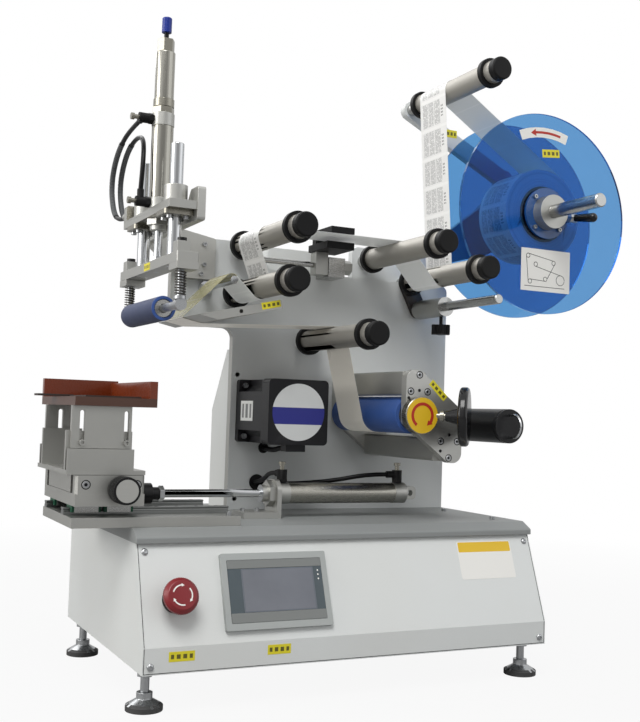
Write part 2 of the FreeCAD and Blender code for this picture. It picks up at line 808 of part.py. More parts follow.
def motor():
    x, z = motor_x, lid_z + motor_z
    s = motor_size / 2
    y1 = plate_front
    y0 = y1 - motor_length
    cut, step = 17, 8
    flange = slab_xz(x - s, x + s, z - s, z + s, 4, y1 - 10, y1)
    corner = [(s - cut, s), (s - cut, s - step), (s - step, s - cut), (s, s - cut)]
    body_outline = [(x + a, z + b, 0) for a, b in corner]
    body_outline += [(x + a, z - b, 0) for a, b in reversed(corner)]
    body_outline += [(x - a, z - b, 0) for a, b in corner]
    body_outline += [(x - a, z + b, 0) for a, b in reversed(corner)]
    middle = plate_xz(body_outline, y0 + 24, y1 - 10)
    rear = slab_xz(x - s, x + s, z - s, z + s, 5, y0 + 20, y0 + 24)
    cap = slab_xz(x - s, x + s, z - s, z + s, 6, y0, y0 + 20)
    cap = cap.cut(slab_xz(x - 34, x + 34, z - 34, z + 34, 30, y0 - 1, y0 + 1.2))
    pilot = rod_y(y1, y1 + 2, x, z, 36.5)
    boss = box(x - 14, x + 14, y0 + 6, y0 + 22, z - s - 9, z - s)
    body = fuse_all([flange, middle, rear, cap, boss, pilot])
    body = body.cut(rod_y(y1 - 8, y1 + 5, x, z, motor_shaft_radius + running))
    add("stepper_motor", [body])
    shaft = rod_y(y1 - 7, belt_front + belt_width + 4, x, z, motor_shaft_radius)
    pulley = tube_y(belt_front - 1, belt_front + belt_width + 1, x, z, motor_pulley_radius, motor_shaft_radius)
    rims = [tube_y(y, y + 1.5, x, z, motor_pulley_radius + 3, motor_shaft_radius)
            for y in (belt_front - 2.5, belt_front + belt_width + 1)]
    add("motor_shaft", [shaft, fuse_all([pulley] + rims)])
    heads = []
    for sx in (-1, 1):
        for sz in (-1, 1):
            face = Vector(x + sx * 34.8, y1 - 10, z + sz * 34.8)
            heads.append(cap_screw(face, Vector(0, -1, 0), 5))
    return heads


def drive_belt():
    """Toothed belt as an open band around both pulleys."""
    g = 0.3
    x0, z0, r0 = motor_x, lid_z + motor_z, motor_pulley_radius + g
    x1, z1, r1 = traction_x(), traction_z(), drive_pulley_radius + g
    y0, y1 = belt_front, belt_front + belt_width

    def loop(grow):
        a, b = r0 + grow, r1 + grow
        dx, dz = x1 - x0, z1 - z0
        length = math.hypot(dx, dz)
        base = math.atan2(dz, dx)
        lean = math.acos((a - b) / length)
        points = []
        for side in (1, -1):
            turn = base + side * lean
            n = Vector(math.cos(turn), 0, math.sin(turn))
            points.append((Vector(x0, y0, z0).add(n * a), Vector(x1, y0, z1).add(n * b)))
        away = Vector(math.cos(base), 0, math.sin(base))
        left = Vector(x0, y0, z0).sub(away * a)
        right = Vector(x1, y0, z1).add(away * b)
        (p0, p1), (q0, q1) = points
        edges = [Part.LineSegment(p0, p1).toShape(), Part.Arc(p1, right, q1).toShape(),
                 Part.LineSegment(q1, q0).toShape(), Part.Arc(q0, left, p0).toShape()]
        return Part.Face(Part.Wire(edges)).extrude(Vector(0, y1 - y0, 0))

    add("drive_belt", [loop(belt_thickness).cut(loop(0))])


def guide_roller(name):
    x, z = roller_places[name]
    z += lid_z
    y1 = plate_front - roller_gap
    y0 = y1 - roller_length
    tube = tube_y(y0, y1, x, z, roller_radius, roller_radius - roller_wall)
    bearings = [tube_y(a, a + 8, x, z, roller_radius - roller_wall, axle_radius + running)
                for a in (y0, y1 - 8)]
    add("guide_roller_" + name, [tube] + bearings)
    cap = rod_y(y0 - cap_length, y0, x, z, cap_radius)
    cap = cap.makeChamfer(1.5, [e for e in cap.Edges if e.BoundBox.YMax < y0 - cap_length + 0.1])
    cap = cap.cut(rod_y(y0 - 4, y0 + 1, x, z, axle_radius + 1))
    collars = [tube_y(a, a + collar_width, x, z, collar_radius, roller_radius)
               for a in (y0 + collar_step, y1 - collar_width)]
    add("guide_roller_" + name, [cap] + collars)
    seat, back = plate_front, plate_back
    if name in bracket_rollers:
        seat, back = plate_back, plate_back + bracket_thickness
    axle = rod_y(y0 - 2, back + 8, x, z, axle_radius)
    shoulder = tube_y(y1 + side_gap, seat, x, z, shoulder_radius, axle_radius)
    nut = hexagon(Vector(x, back, z), Vector(0, 1, 0), 16, 7).cut(axle)
    return [axle, shoulder, nut]


def guide_rollers():
    axles = []
    for name in roller_places:
        axles += guide_roller(name)
    add("roller_axles", axles)


def reel():
    x, z = reel_x, lid_z + reel_z
    inner0 = web_end + 2
    inner1 = inner0 + reel_disc_thickness
    outer1 = web_start - 2
    outer0 = outer1 - reel_disc_thickness
    shaft_end = plate_back + bracket_thickness + 30
    shaft = rod_y(reel_shaft_front, shaft_end, x, z, reel_shaft_radius)
    shaft = shaft.makeChamfer(1.5, [e for e in shaft.Edges if e.BoundBox.YMax < reel_shaft_front + 0.1])
    groove_end = outer0 - reel_collar_length - groove_width
    groove_radius = reel_shaft_radius - groove_depth
    shaft = shaft.cut(tube_y(groove_end - groove_width, groove_end, x, z, reel_shaft_radius + 1, groove_radius))
    flange_end = plate_back - 20 - 0.5
    flange = tube_y(inner1, flange_end, x, z, 20, reel_shaft_radius)
    flange = flange.fuse(tube_y(inner1, inner1 + 6, x, z, 42, 20)).removeSplitter()
    mandrel = tube_y(outer1 + 3, inner0, x, z, core_radius, core_radius - 6)
    web = tube_y(inner0 - 8, inner0, x, z, core_radius - 6, reel_shaft_radius)
    stop = tube_y(shaft_end - 8, shaft_end - 1, x, z, 18, reel_shaft_radius)
    add("reel_hub", [shaft, flange, mandrel.fuse(web).removeSplitter(), stop])
    disc = tube_y(inner0, inner1, x, z, reel_radius, reel_shaft_radius)
    add("reel_inner_disc", [disc])
    core = tube_y(web_start, web_end, x, z, core_radius + core_wall, core_radius + 0.2)
    labels = tube_y(web_start, web_end, x, z, roll_radius, core_radius + core_wall)
    add("label_roll", [core, labels])
    outer = tube_y(outer0, outer1, x, z, reel_radius, reel_shaft_radius + running)
    add("reel_outer_disc", [outer])
    c1 = outer0
    c0 = c1 - reel_collar_length
    collar = tube_y(c0, c1, x, z, reel_collar_radius, reel_shaft_radius + running)
    ring = tube_y(c1 - 4, c1, x, z, 38, reel_collar_radius)
    mid = (c0 + c1) / 2 - 2
    boss = rod_x(x + 12, x + reel_collar_radius + 8, mid, z - 4, 8)
    boss = boss.cut(rod_y(c0 - 5, c1 + 5, x, z, reel_collar_radius))
    screw_hole = rod_x(x + reel_shaft_radius + 2, x + reel_collar_radius + 9, mid, z - 4, 3 + running)
    body = fuse_all([collar, ring, boss]).cut(screw_hole)
    bolts = [cap_screw(Vector(x + 32 * math.cos(a), c1 - 4, z + 32 * math.sin(a)), Vector(0, -1, 0), 4)
             for a in (math.radians(45 + 90 * i) for i in range(4))]
    add("reel_outer_disc", [body] + bolts)
    sx = x + reel_collar_radius + 8
    screw = rod_x(x + reel_shaft_radius + 3, sx + 14, mid, z - 4, 3)
    hub = rod_x(sx + 0.5, sx + 14, mid, z - 4, 7)
    lever = Part.makeCone(5, 7, 36, Vector(sx + 8, mid, z - 4), Vector(0.25, -1, -0.1))
    tip = Part.makeSphere(7, Vector(sx + 8, mid, z - 4).add(Vector(0.25, -1, -0.1).normalize() * 36))
    add("reel_clamp_lever", [fuse_all([screw, hub, lever, tip])])


def peel_point(along, above):
    """Point (x, z) by its distance from the peeling edge and its height over the plate's upper face."""
    a = math.radians(peel_angle)
    return (peel_x + along * math.cos(a) - above * math.sin(a),
            lid_z + peel_z + along * math.sin(a) + above * math.cos(a))


def peel_unit():
    corners = [peel_point(0, 0) + (0.6,), peel_point(peel_nose, -peel_thickness) + (0,),
               peel_point(peel_length, -peel_thickness) + (1,), peel_point(peel_length, 0) + (1,)]
    plate = plate_xz(corners, peel_front, plate_front)
    for s in (0.5, 0.86):
        cx, cz = peel_point(peel_length * s, -peel_thickness / 2)
        plate = plate.cut(rod_y(peel_front - 1, peel_front + 15, cx, cz, 2.5))
    rod = rod_y(peel_rod_front, plate_front, peel_rod_x, lid_z + peel_rod_z, peel_rod_radius)
    collar = tube_y(plate_front - 8, plate_front, peel_rod_x, lid_z + peel_rod_z, 9, peel_rod_radius)
    add("peel_plate", [plate])
    add("peel_plate", [rod, collar])


def sensor():
    y, z = sensor_rod_y, lid_z + sensor_rod_z
    web_z = lid_z + roller_places["b"][1] + roller_radius
    rod = rod_x(sensor_x - 97, sensor_x + 27, y, z, sensor_rod_radius)
    block = box(sensor_x - 1, sensor_x + 25, y - 9, plate_front, z - 16, z + 12)
    block = block.cut(rod)
    clamp = hexagon(Vector(sensor_x + 25, y, z), Vector(1, 0, 0), 18, 12).cut(rod)
    slider = box(sensor_x - 21, sensor_x - 2, y - 9, y + 9, z - 14, web_z - 16).cut(rod)
    add("label_sensor", [rod, block, clamp, slider])
    x0, x1 = sensor_x - 24, sensor_x + 18
    back = web_end + 4
    low = box(x0, x1, web_start + 24, back + 12, web_z - 16, web_z - sensor_throat / 2)
    high = box(x0 + 6, x1, web_start + 24, back + 12, web_z + sensor_throat / 2, web_z + 15)
    spine = box(x0 + 6, x1, back, back + 12, web_z - 16, web_z + 15)
    add("label_sensor", [fuse_all([low, high, spine])])


def dancer():
    ex, ez = roller_places["e"]
    ez += lid_z
    x, z = dancer_x, lid_z + dancer_z
    y1 = plate_front - 1.0
    y0 = y1 - dancer_arm_thickness
    arm = bar_xz((ex, ez), (x, z), 24, y0, y1)
    arm = arm.cut(rod_y(y0 - 1, y1 + 1, ex, ez, shoulder_radius + 2 * running))
    boss = rod_y(dancer_boss_front, y0, x, z, dancer_boss_radius)
    arm = arm.fuse(boss)
    arm = arm.cut(rod_y(dancer_boss_front - 1, y1 - 3, x, z, dancer_rod_radius))
    arm = arm.cut(rod_z(z - 30, z - 2, x, dancer_boss_front + 12, 2.5 + running))
    add("dancer_arm", [arm.removeSplitter()])
    rod = rod_y(dancer_rod_front, y1 - 3, x, z, dancer_rod_radius)
    rod = rod.makeChamfer(1, [e for e in rod.Edges if e.BoundBox.YMax < dancer_rod_front + 0.1])
    add("dancer_arm", [rod])
    kx, ky = x, dancer_boss_front + 12
    screw = rod_z(z - 34, z - dancer_rod_radius - 0.3, kx, ky, 2.5)
    star = rod_z(z - 40, z - 26, kx, ky, 11)
    for i in range(6):
        t = math.radians(60 * i)
        star = star.fuse(rod_z(z - 40, z - 26, kx + 11 * math.cos(t), ky + 11 * math.sin(t), 3.6))
    add("dancer_knob", [fuse_all([screw, star])])


def press_zs():
    return lid_z + bearing_plate_z, lid_z + crosshead_z


def press_frame():
    zb, zc = press_zs()
    x0 = press_x - bearing_plate_width / 2
    x1 = press_x + bearing_plate_width / 2
    y0 = press_y + 4 - bearing_plate_length / 2
    y1 = y0 + bearing_plate_length
    z1 = zb + bearing_plate_thickness
    plate = box(x0, x1, y0, y1, zb, z1)
    holes = [rod_z(zb - 1, z1 + 1, press_x, y, bushing_radius) for y in press_rod_ys()]
    holes.append(rod_z(zb - 1, z1 + 1, press_x, press_y, 11))
    plate = cut_all(plate, holes)
    wing = plate_yz([(y0 - 2, zb - 12, 4), (plate_front - 12, zb - 12, 0), (plate_front - 12, z1 + 2, 0),
                     (y0 + 38, z1 + 2, 3), (y0 + 24, z1 + 18, 3), (y0 - 2, z1 + 18, 4)], x1, x1 + 10)
    ear = plate_xz([(x0, z1, 0), (x0 + 26, z1, 0), (x0 + 26, z1 + 20, 3), (x0, z1 + 20, 3)], y1 - 12, y1)
    for hose_x in ear_ports:
        ear = ear.fuse(rod_y(y1, ear_port_end, hose_x, z1 + 9, 4.8))
    zr = lid_z
    mount = plate_xz([(x1, zb - 12, 3), (arm_left + 11, zr + arm_top - 59, 4), (arm_left + 59, zr + arm_top - 59, 3),
                      (arm_left + 59, zr + arm_top - 2, 4), (x1, z1 + 10, 3)], plate_front - 12, plate_front)
    add("press_bracket", [wing, mount])
    add("press_bearing_plate", [plate, ear])
    bushings = []
    for y in press_rod_ys():
        f = bushing_flange / 2
        flange = slab_xy(press_x - f, press_x + f, y - f, y + f, 5, zb - bushing_flange_thickness, zb)
        tube = rod_z(zb - bushing_flange_thickness, zb - bushing_flange_thickness + bushing_length,
                     press_x, y, bushing_radius)
        bore = rod_z(zb - 20, zb + 60, press_x, y, press_rod_radius + running)
        bushings.append(fuse_all([flange, tube]).cut(bore).cut(box(x1, x1 + 12, y - 30, y + 30, zb - 10, zb + 60)))
    add("press_bearing_plate", bushings)


ear_ports = (30.5, 42.0)
ear_port_end = 252.0


def press_rod_ys():
    return (press_y - press_rod_pitch / 2, press_y + press_rod_pitch / 2)


def spring_ys():
    return (press_y + 2.5 - spring_pitch / 2, press_y + 2.5 + spring_pitch / 2)


def press_cylinder():
    zb = lid_z + bearing_plate_z
    x, y = press_x, press_y
    z0 = zb + bearing_plate_thickness
    z1 = z0 + head_length
    z2 = z1 + press_barrel_length
    z3 = z2 + head_length
    nose = tube_z(zb - 14, z0, x, y, 10.9, piston_rod_radius + running)
    nut = hexagon(Vector(x, y, zb - 8), Vector(0, 0, 1), 27, 8).cut(rod_z(zb - 20, z0, x, y, 10.9))
    front = tube_z(z0, z1, x, y, barrel_radius + 0.5, piston_rod_radius + running).fuse(nose)
    barrel = tube_z(z1, z2, x, y, barrel_radius, barrel_bore)
    rear = rod_z(z2, z3, x, y, barrel_radius + 0.5)
    lock = hexagon(Vector(x, y, z3), Vector(0, 0, 1), 24, 8)
    collar = rod_z(z3 + 8, z3 + 18, x, y, 13)
    sleeve = rod_z(z3 + 18, z3 + 78, x, y, 12)
    sleeve = sleeve.makeFillet(1.5, [e for e in sleeve.Edges if e.BoundBox.ZMin > z3 + 77])
    top = hexagon(Vector(x, y, z3 + 78), Vector(0, 0, 1), 19, 16)
    bore = rod_z(z3 + 70, z3 + 100, x, y, 3 + running)
    add("press_cylinder", [front.removeSplitter(), barrel, rear, lock, collar, sleeve.cut(bore), top.cut(bore), nut])
    knob = fuse_all([rod_z(z3 + 74, z3 + 103, x, y, 3), rod_z(z3 + 103, z3 + 122, x, y, 6.2)])
    knob = knob.makeChamfer(1, [e for e in knob.Edges if e.BoundBox.ZMin > z3 + 121])
    add("press_cylinder", [knob])
    return z1, z2, z3


def press_carriage():
    zb, zc = press_zs()
    z1 = zc + crosshead_thickness
    x0 = press_x - crosshead_width / 2
    x1 = press_x + crosshead_width / 2
    ym = press_y + 2.5
    bar = box(x0, x1, ym - crosshead_length / 2, ym + crosshead_length / 2, zc, z1)
    bar = bar.makeChamfer(1.0, [e for e in bar.Edges if e.BoundBox.ZLength > 5])
    for y in press_rod_ys():
        bar = bar.cut(rod_z(zc - 1, z1 + 1, press_x, y, press_rod_radius))
    bar = bar.cut(rod_z(zc - 1, z1 + 1, press_x, press_y, piston_rod_radius))
    pins = [rod_z(zc - 30, z1 + 40, press_x - 3, y, spring_pin_radius + running) for y in spring_ys()]
    bar = cut_all(bar, pins)
    add("crosshead", [bar])
    rods = [rod_z(zc, zc + press_rod_length, press_x, y, press_rod_radius) for y in press_rod_ys()]
    rods = [r.makeChamfer(1, [e for e in r.Edges if e.BoundBox.ZMin > zc + press_rod_length - 0.1]) for r in rods]
    z_barrel = zb + bearing_plate_thickness + head_length
    piston_z = z_barrel + press_down + 3
    rod = rod_z(zc, piston_z + 6, press_x, press_y, piston_rod_radius)
    piston = tube_z(piston_z, piston_z + 14, press_x, press_y, barrel_bore - running, piston_rod_radius)
    piston = piston.fuse(rod_z(piston_z + 6, piston_z + 14, press_x, press_y, piston_rod_radius))
    lock = hexagon(Vector(press_x, press_y, z1), Vector(0, 0, 1), 17, 7).cut(rod)
    add("press_rods", rods + [rod, piston.removeSplitter(), lock])
    plates = []
    for y in spring_ys():
        low = box(press_x - 13, press_x + 13, y - 15, y + 15, zc - spring_plate_thickness, zc)
        cap = box(press_x - 11, press_x + 5, y - 8, y + 8, z1, z1 + spring_cap_height)
        plates += [cut_all(low, pins), cut_all(cap, pins)]
    add("crosshead", plates)


def press_yoke():
    zc = lid_z + crosshead_z
    z_top = zc + crosshead_thickness + spring_cap_height
    zr = lid_z + press_roller_z
    x = press_x - 3
    solids = []
    ys = spring_ys()
    for y in ys:
        pin = rod_z(zr, z_top + 0.3, x, y, spring_pin_radius)
        head = rod_z(z_top + 0.3, z_top + 4.3, x, y, 5.5)
        eye = rod_y(y - 5, y + 5, x, zr, 7)
        seat = rod_z(zr + 6, spring_low(), x, y, 7)
        solids += [pin, head, eye, seat]
    axle = rod_y(ys[0] - 5, ys[1] + 5, x, zr, press_axle_radius)
    add("press_yoke", [fuse_all(solids + [axle])])
    y0 = press_roller_start
    y1 = y0 + press_roller_length
    cover = tube_y(y0, y1, x, zr, press_roller_radius, press_roller_radius - 4)
    bearings = [tube_y(a, a + 7, x, zr, press_roller_radius - 4, press_axle_radius + running)
                for a in (y0 + 1, y1 - 8)]
    add("press_roller", [cover] + bearings)
    springs = []
    z0 = spring_low() + 0.3
    z1 = zc - spring_plate_thickness - 0.3
    for y in ys:
        springs.append(coil(x, y, z0, z1))
    add("press_springs", springs)


def spring_low():
    return lid_z + press_roller_z + 9.5


def coil(x, y, z0, z1):
    """Compression spring of round wire."""
    pitch = (z1 - z0 - 2 * spring_wire) / spring_turns
    helix = Part.makeHelix(pitch, pitch * spring_turns, spring_radius)
    corners = [math.radians(60 * i) for i in range(7)]
    section = Part.makePolygon([Vector(spring_radius + spring_wire * math.cos(t), 0, spring_wire * math.sin(t))
                                for t in corners])
    wire = Part.Wire(helix).makePipeShell([section], True, True)
    wire.translate(Vector(x, y, z0 + spring_wire))
    return wire


def table_unit():
    z0 = lid_z
    z1 = z0 + table_base_thickness
    base = box(table_left, table_left + table_length, table_front, table_front + table_depth, z0, z1)
    add("table_base", [base])
    rails = []
    for y in (rail_front, rail_front + rail_pitch):
        w = rail_width / 2
        rail = box(table_left, table_left + table_length, y - w, y + w, z1, z1 + rail_height)
        for side in (-1, 1):
            groove = rod_x(table_left - 1, table_left + table_length + 1, y + side * w, z1 + 5, 1.5)
            rail = rail.cut(groove)
        rails.append(rail)
    add("table_base", rails)

    zb = z1 + 2.5
    zc = z1 + 2.5 + rail_block_height - 2.5
    blocks = []
    seals = []
    for y in (rail_front, rail_front + rail_pitch):
        for x in (carriage_left + 4, carriage_left + carriage_length - rail_block_length - 4):
            block = box(x + 3, x + rail_block_length - 3, y - 13, y + 13, zb, zc)
            space = box(x - 1, x + rail_block_length + 1, y - rail_width / 2 - 0.3, y + rail_width / 2 + 0.3,
                        zb - 1, z1 + rail_height + 0.3)
            blocks.append(block.cut(space))
            for a in (x, x + rail_block_length - 3):
                seals.append(box(a, a + 3, y - 12.5, y + 12.5, zb + 0.5, zc - 0.5).cut(space))
    add("table_carriage", blocks + seals)

    z2 = zc + carriage_thickness
    x0, x1 = carriage_left, carriage_left + carriage_length
    y0, y1 = carriage_front, carriage_front + carriage_depth
    plate = box(x0, x1, y0, y1, zc, z2)
    z3 = z2 + cross_block_height
    front = box(x0, x1, y0, y0 + cross_block_depth, z2, z3)
    front = front.makeChamfer(3, [e for e in front.Edges if e.BoundBox.ZLength > 5 and e.BoundBox.YMax < y0 + 1])
    back = box(x0, x1, y1 - cross_block_depth, y1, z2, z3)
    screw_x = (x0 + x1) / 2 + 12
    screw_z = z2 + 5.2
    bore = rod_y(y0 - 1, y1 + 1, screw_x, screw_z, cross_screw_radius + running)
    guide = plate_xz([(x0 + 22, z2, 0), (x0 + 40, z2, 0), (x0 + 44, z2 + 8, 0), (x0 + 18, z2 + 8, 0)],
                     y0 + cross_block_depth, y1 - cross_block_depth)
    add("table_carriage", [plate, front.cut(bore), back.cut(bore), guide])

    g = slide_gap
    s0 = y0 + cross_block_depth + cross_travel + g
    s1 = y1 - cross_block_depth - cross_travel - g
    saddle = box(x0, x1, s0, s1, z2 + g, z3 + g)
    groove = plate_xz([(x0 + 22 - g, z2 - 1, 0), (x0 + 40 + g, z2 - 1, 0), (x0 + 44 + 1.6 * g, z2 + 8 + g, 0),
                       (x0 + 18 - 1.6 * g, z2 + 8 + g, 0)], s0 - 1, s1 + 1)
    saddle = saddle.cut(groove).cut(rod_y(s0 - 1, s1 + 1, screw_x, screw_z, cross_screw_radius + running))
    top = box(bracket_left, x1, y0, y1, z3 + g, z3 + g + 5)
    add("cross_slide", [saddle.fuse(top).removeSplitter()])

    knob_y = y0 - 1.0
    knob = rod_y(knob_y - knob_length, knob_y, screw_x, screw_z, knob_radius)
    ribs = 36
    for i in range(ribs):
        t = 2 * math.pi * i / ribs
        cut = rod_y(knob_y - knob_length + 2, knob_y - 6, screw_x + knob_radius * math.cos(t),
                    screw_z + knob_radius * math.sin(t), 0.8)
        knob = knob.cut(cut)
    screw = rod_y(knob_y - 1, y1 - 4, screw_x, screw_z, cross_screw_radius)
    add("cross_knob", [knob.fuse(screw).removeSplitter()])

    zt = z3 + g + 5
    return zt, y0, y1


def height_bracket(y, facing, x0, x1, slot_xs, zt):
    """Lower channel, sliding plate and clamping screws at y, open towards facing."""
    t = upper_plate_thickness
    g = slide_gap
    z_top = lid_z + upper_plate_top

    def layer(a, b, x0, x1, z0, z1):
        near, far = y + facing * a, y + facing * b
        return box(x0, x1, min(near, far), max(near, far), z0, z1)

    outer = layer(0, 4, x0, x1, zt, zt + 24)
    inner = layer(4 + t + 2 * g, 10 + t + 2 * g, x0, x1, zt, zt + 44)
    plate = layer(4 + g, 4 + g + t, x0 + 4, x1 - 3, z_top - 48, z_top)
    screws = []
    screw_z = zt + 31
    for x in slot_xs:
        low, high = y + facing * 2, y + facing * (12 + t)
        slot = slab_xz(x - 2.8, x + 2.8, screw_z - 2.8, z_top - 5, 2.7, min(low, high), max(low, high))
        plate = plate.cut(slot)
        direction = Vector(0, -facing, 0)
        shank = Part.makeCylinder(2.4, 4 + t + 2 * g, Vector(x, y + facing * (4 + g - 0.3), screw_z), direction * -1)
        inner = inner.cut(shank)
        head = cap_screw(Vector(x, y + facing * (4 + g - 0.3), screw_z), direction, 4.5)
        screws.append(head.fuse(shank).removeSplitter())
    return [outer, inner], plate, screws


def fixture(zt, y0, y1):
    x0, x1 = bracket_left, bracket_left + bracket_width
    front = height_bracket(y0, 1, x0, x1, (x0 + 16, x1 - 9), zt)
    rear = height_bracket(y1 - 8, -1, x0, x0 + 48, (x0 + 22,), zt)
    add("cross_slide", front[0] + rear[0])
    add("fixture", [front[1], rear[1]])
    add("cross_slide", front[2] + rear[2])
    z = lid_z + upper_plate_top
    nx0, nx1 = nest_left, nest_left + nest_width
    ny1 = y0 + nest_depth
    zn = z + nest_thickness
    base = box(nx0, nx1, y0, ny1, z, zn)
    base = base.cut(box(nx0 + 14, nx1 - 14, y0 + 14, ny1 - fence_thickness - 8, zn - 2.5, zn + 1))
    add("fixture", [base])
    f = fence_thickness
    rear_wall = box(nx0, nx1, ny1 - f, ny1, zn, zn + fence_height + 3)
    right_wall = box(nx1 - f, nx1, y0, ny1 - f, zn, zn + fence_height)
    add("fixture", [rear_wall.fuse(right_wall).removeSplitter()])
    insert = box(nx0 + 15, nx1 - 15, y0 + 15, ny1 - f - 9, zn - 2.5, zn + 2)
    tongue = box(nx0 - 22, nx0 + 20, y0 + 96, y0 + 120, zn + 0.5, zn + 3)
    insert = insert.fuse(tongue.fuse(box(nx0 + 15, nx0 + 20, y0 + 96, y0 + 120, zn - 2.5, zn + 2)))
    add("fixture", [insert.removeSplitter()])


def table_cylinder():
    y, z = table_cylinder_y, lid_z + table_cylinder_z
    x0 = table_barrel_start
    x1 = x0 + table_barrel_length
    front = tube_x(x0 - head_length, x0, y, z, barrel_radius + 0.5, piston_rod_radius + running)
    nose = tube_x(x0 - head_length - 22, x0 - head_length, y, z, 10.9, piston_rod_radius + running)
    barrel = tube_x(x0, x1, y, z, barrel_radius, barrel_bore)
    rear = rod_x(x1, x1 + 18, y, z, barrel_radius + 0.5)
    tang = slab_xz(x1 + 18, x1 + 36, z - 9, z + 9, 6, y - 5, y + 5)
    tang = tang.cut(rod_y(y - 6, y + 6, x1 + 27, z, 4))
    bx1 = x0 - head_length
    bx0 = bx1 - 6
    wall = plate_yz([(y - 20, lid_z, 0), (y + 20, lid_z, 0), (y + 20, z + 8, 8), (y + 10, z + 18, 6),
                     (y - 10, z + 18, 6), (y - 20, z + 8, 8)], bx0, bx1)
    wall = wall.cut(rod_x(bx0 - 1, bx1 + 1, y, z, 10.9))
    foot = box(bx0 - 46, bx0, y - 20, y + 20, lid_z, lid_z + 8)
    nut = hexagon(Vector(bx0 - 8, y, z), Vector(1, 0, 0), 30, 8).cut(rod_x(bx0 - 30, bx0 + 1, y, z, 10.9))
    add("table_cylinder", [front.fuse(nose).removeSplitter(), barrel, rear.fuse(tang).removeSplitter(), nut])
    add("table_cylinder", [wall.fuse(foot).removeSplitter()])

    carriage_right = carriage_left + carriage_length
    piston_x = x0 + 4
    rod = rod_x(carriage_right + 44, piston_x + 6, y, z, piston_rod_radius)
    piston = rod_x(piston_x, piston_x + 14, y, z, barrel_bore - running).cut(rod)
    joint = rod_x(carriage_right + 22, carriage_right + 34, y, z, 13)
    ball = rod_x(carriage_right + 34, carriage_right + 44, y, z, 8)
    nut2 = hexagon(Vector(carriage_right + 44, y, z), Vector(1, 0, 0), 17, 6).cut(rod)
    plate_z = lid_z + table_base_thickness + rail_block_height
    arm = box(carriage_right, carriage_right + 22, y - 13, y + 13, z - 12, plate_z + carriage_thickness)
    add("table_piston_rod", [rod, piston, fuse_all([joint, ball]), nut2, arm])


def flow_control(base, up, side, size):
    """Banjo fitting: hexagon, round body with a side port, and the needle screw."""
    stem = hexagon(base, up, 1.2 * size, 5)
    body = Part.makeCylinder(0.62 * size, 12, base.add(up * 5), up)
    port = Part.makeCylinder(0.42 * size, 1.5 * size, base.add(up * 11), side)
    needle = Part.makeCylinder(0.28 * size, 10, base.add(up * 17), up)
    knob = Part.makeCylinder(0.42 * size, 4, base.add(up * 23), up)
    return fuse_all([stem, body, port, needle, knob])


def fittings(z1, z2, z3):
    solids = []
    x, y = press_x, press_y
    left = Vector(-1, 0, 0)
    zb = z1 - head_length / 2
    up = Vector(0, 0, 1)
    r = barrel_radius + 0.5
    solids.append(flow_control(Vector(x - r, y, zb + 2), left, up, 10))
    solids.append(flow_control(Vector(x - r, y, z3 - head_length / 2), left, Vector(0, 1, 0), 10))
    cy, cz = table_cylinder_y, lid_z + table_cylinder_z
    x0 = table_barrel_start
    solids.append(flow_control(Vector(x0 - 8, cy, cz + r), up, Vector(0, 1, 0), 11))
    solids.append(flow_control(Vector(x0 + table_barrel_length + 8, cy, cz + r), up,
                               Vector(-1, 0, 0), 11))
    add("flow_controls", solids)


hose_diameter = 6.0
cable_diameter = 7.0
hose_routes = {
    "press_hose_top": (hose_diameter, [
        (16.0, 152.0, 691.0), (17.0, 196.0, 690.0), (20.0, 248.0, 684.0), (24.0, 294.0, 668.0),
        (27.0, 320.0, 640.0), (29.5, 312.0, 602.0), (30.5, 282.0, 586.0), (30.5, 252.0, 586.0)]),
    "press_hose_bottom": (hose_diameter, [
        (16.0, 137.0, 602.0), (17.0, 134.0, 634.0), (22.0, 152.0, 668.0), (29.0, 200.0, 684.0),
        (32.0, 250.0, 682.0), (36.0, 294.0, 667.0), (39.0, 320.0, 640.0), (41.0, 312.0, 602.0),
        (42.0, 282.0, 586.0), (42.0, 252.0, 586.0)]),
    "table_hose_near": (hose_diameter, [
        (225.0, 166.5, 254.0), (225.0, 190.0, 254.0), (229.0, 222.0, 240.0), (229.0, 251.6, 236.0)]),
    "table_hose_far": (hose_diameter, [
        (382.5, 150.0, 254.0), (352.0, 150.0, 254.0), (310.0, 168.0, 244.0), (268.0, 196.0, 238.0),
        (241.0, 226.0, 236.0), (238.0, 251.6, 236.0)]),
    "motor_cable": (cable_diameter, [
        (241.5, 162.0, 287.4), (241.5, 190.0, 287.4), (241.5, 222.0, 281.0), (241.5, 251.6, 284.0)]),
}


def hoses():
    for name, (diameter, points) in hose_routes.items():
        add(name, [hose(points, diameter, name)])


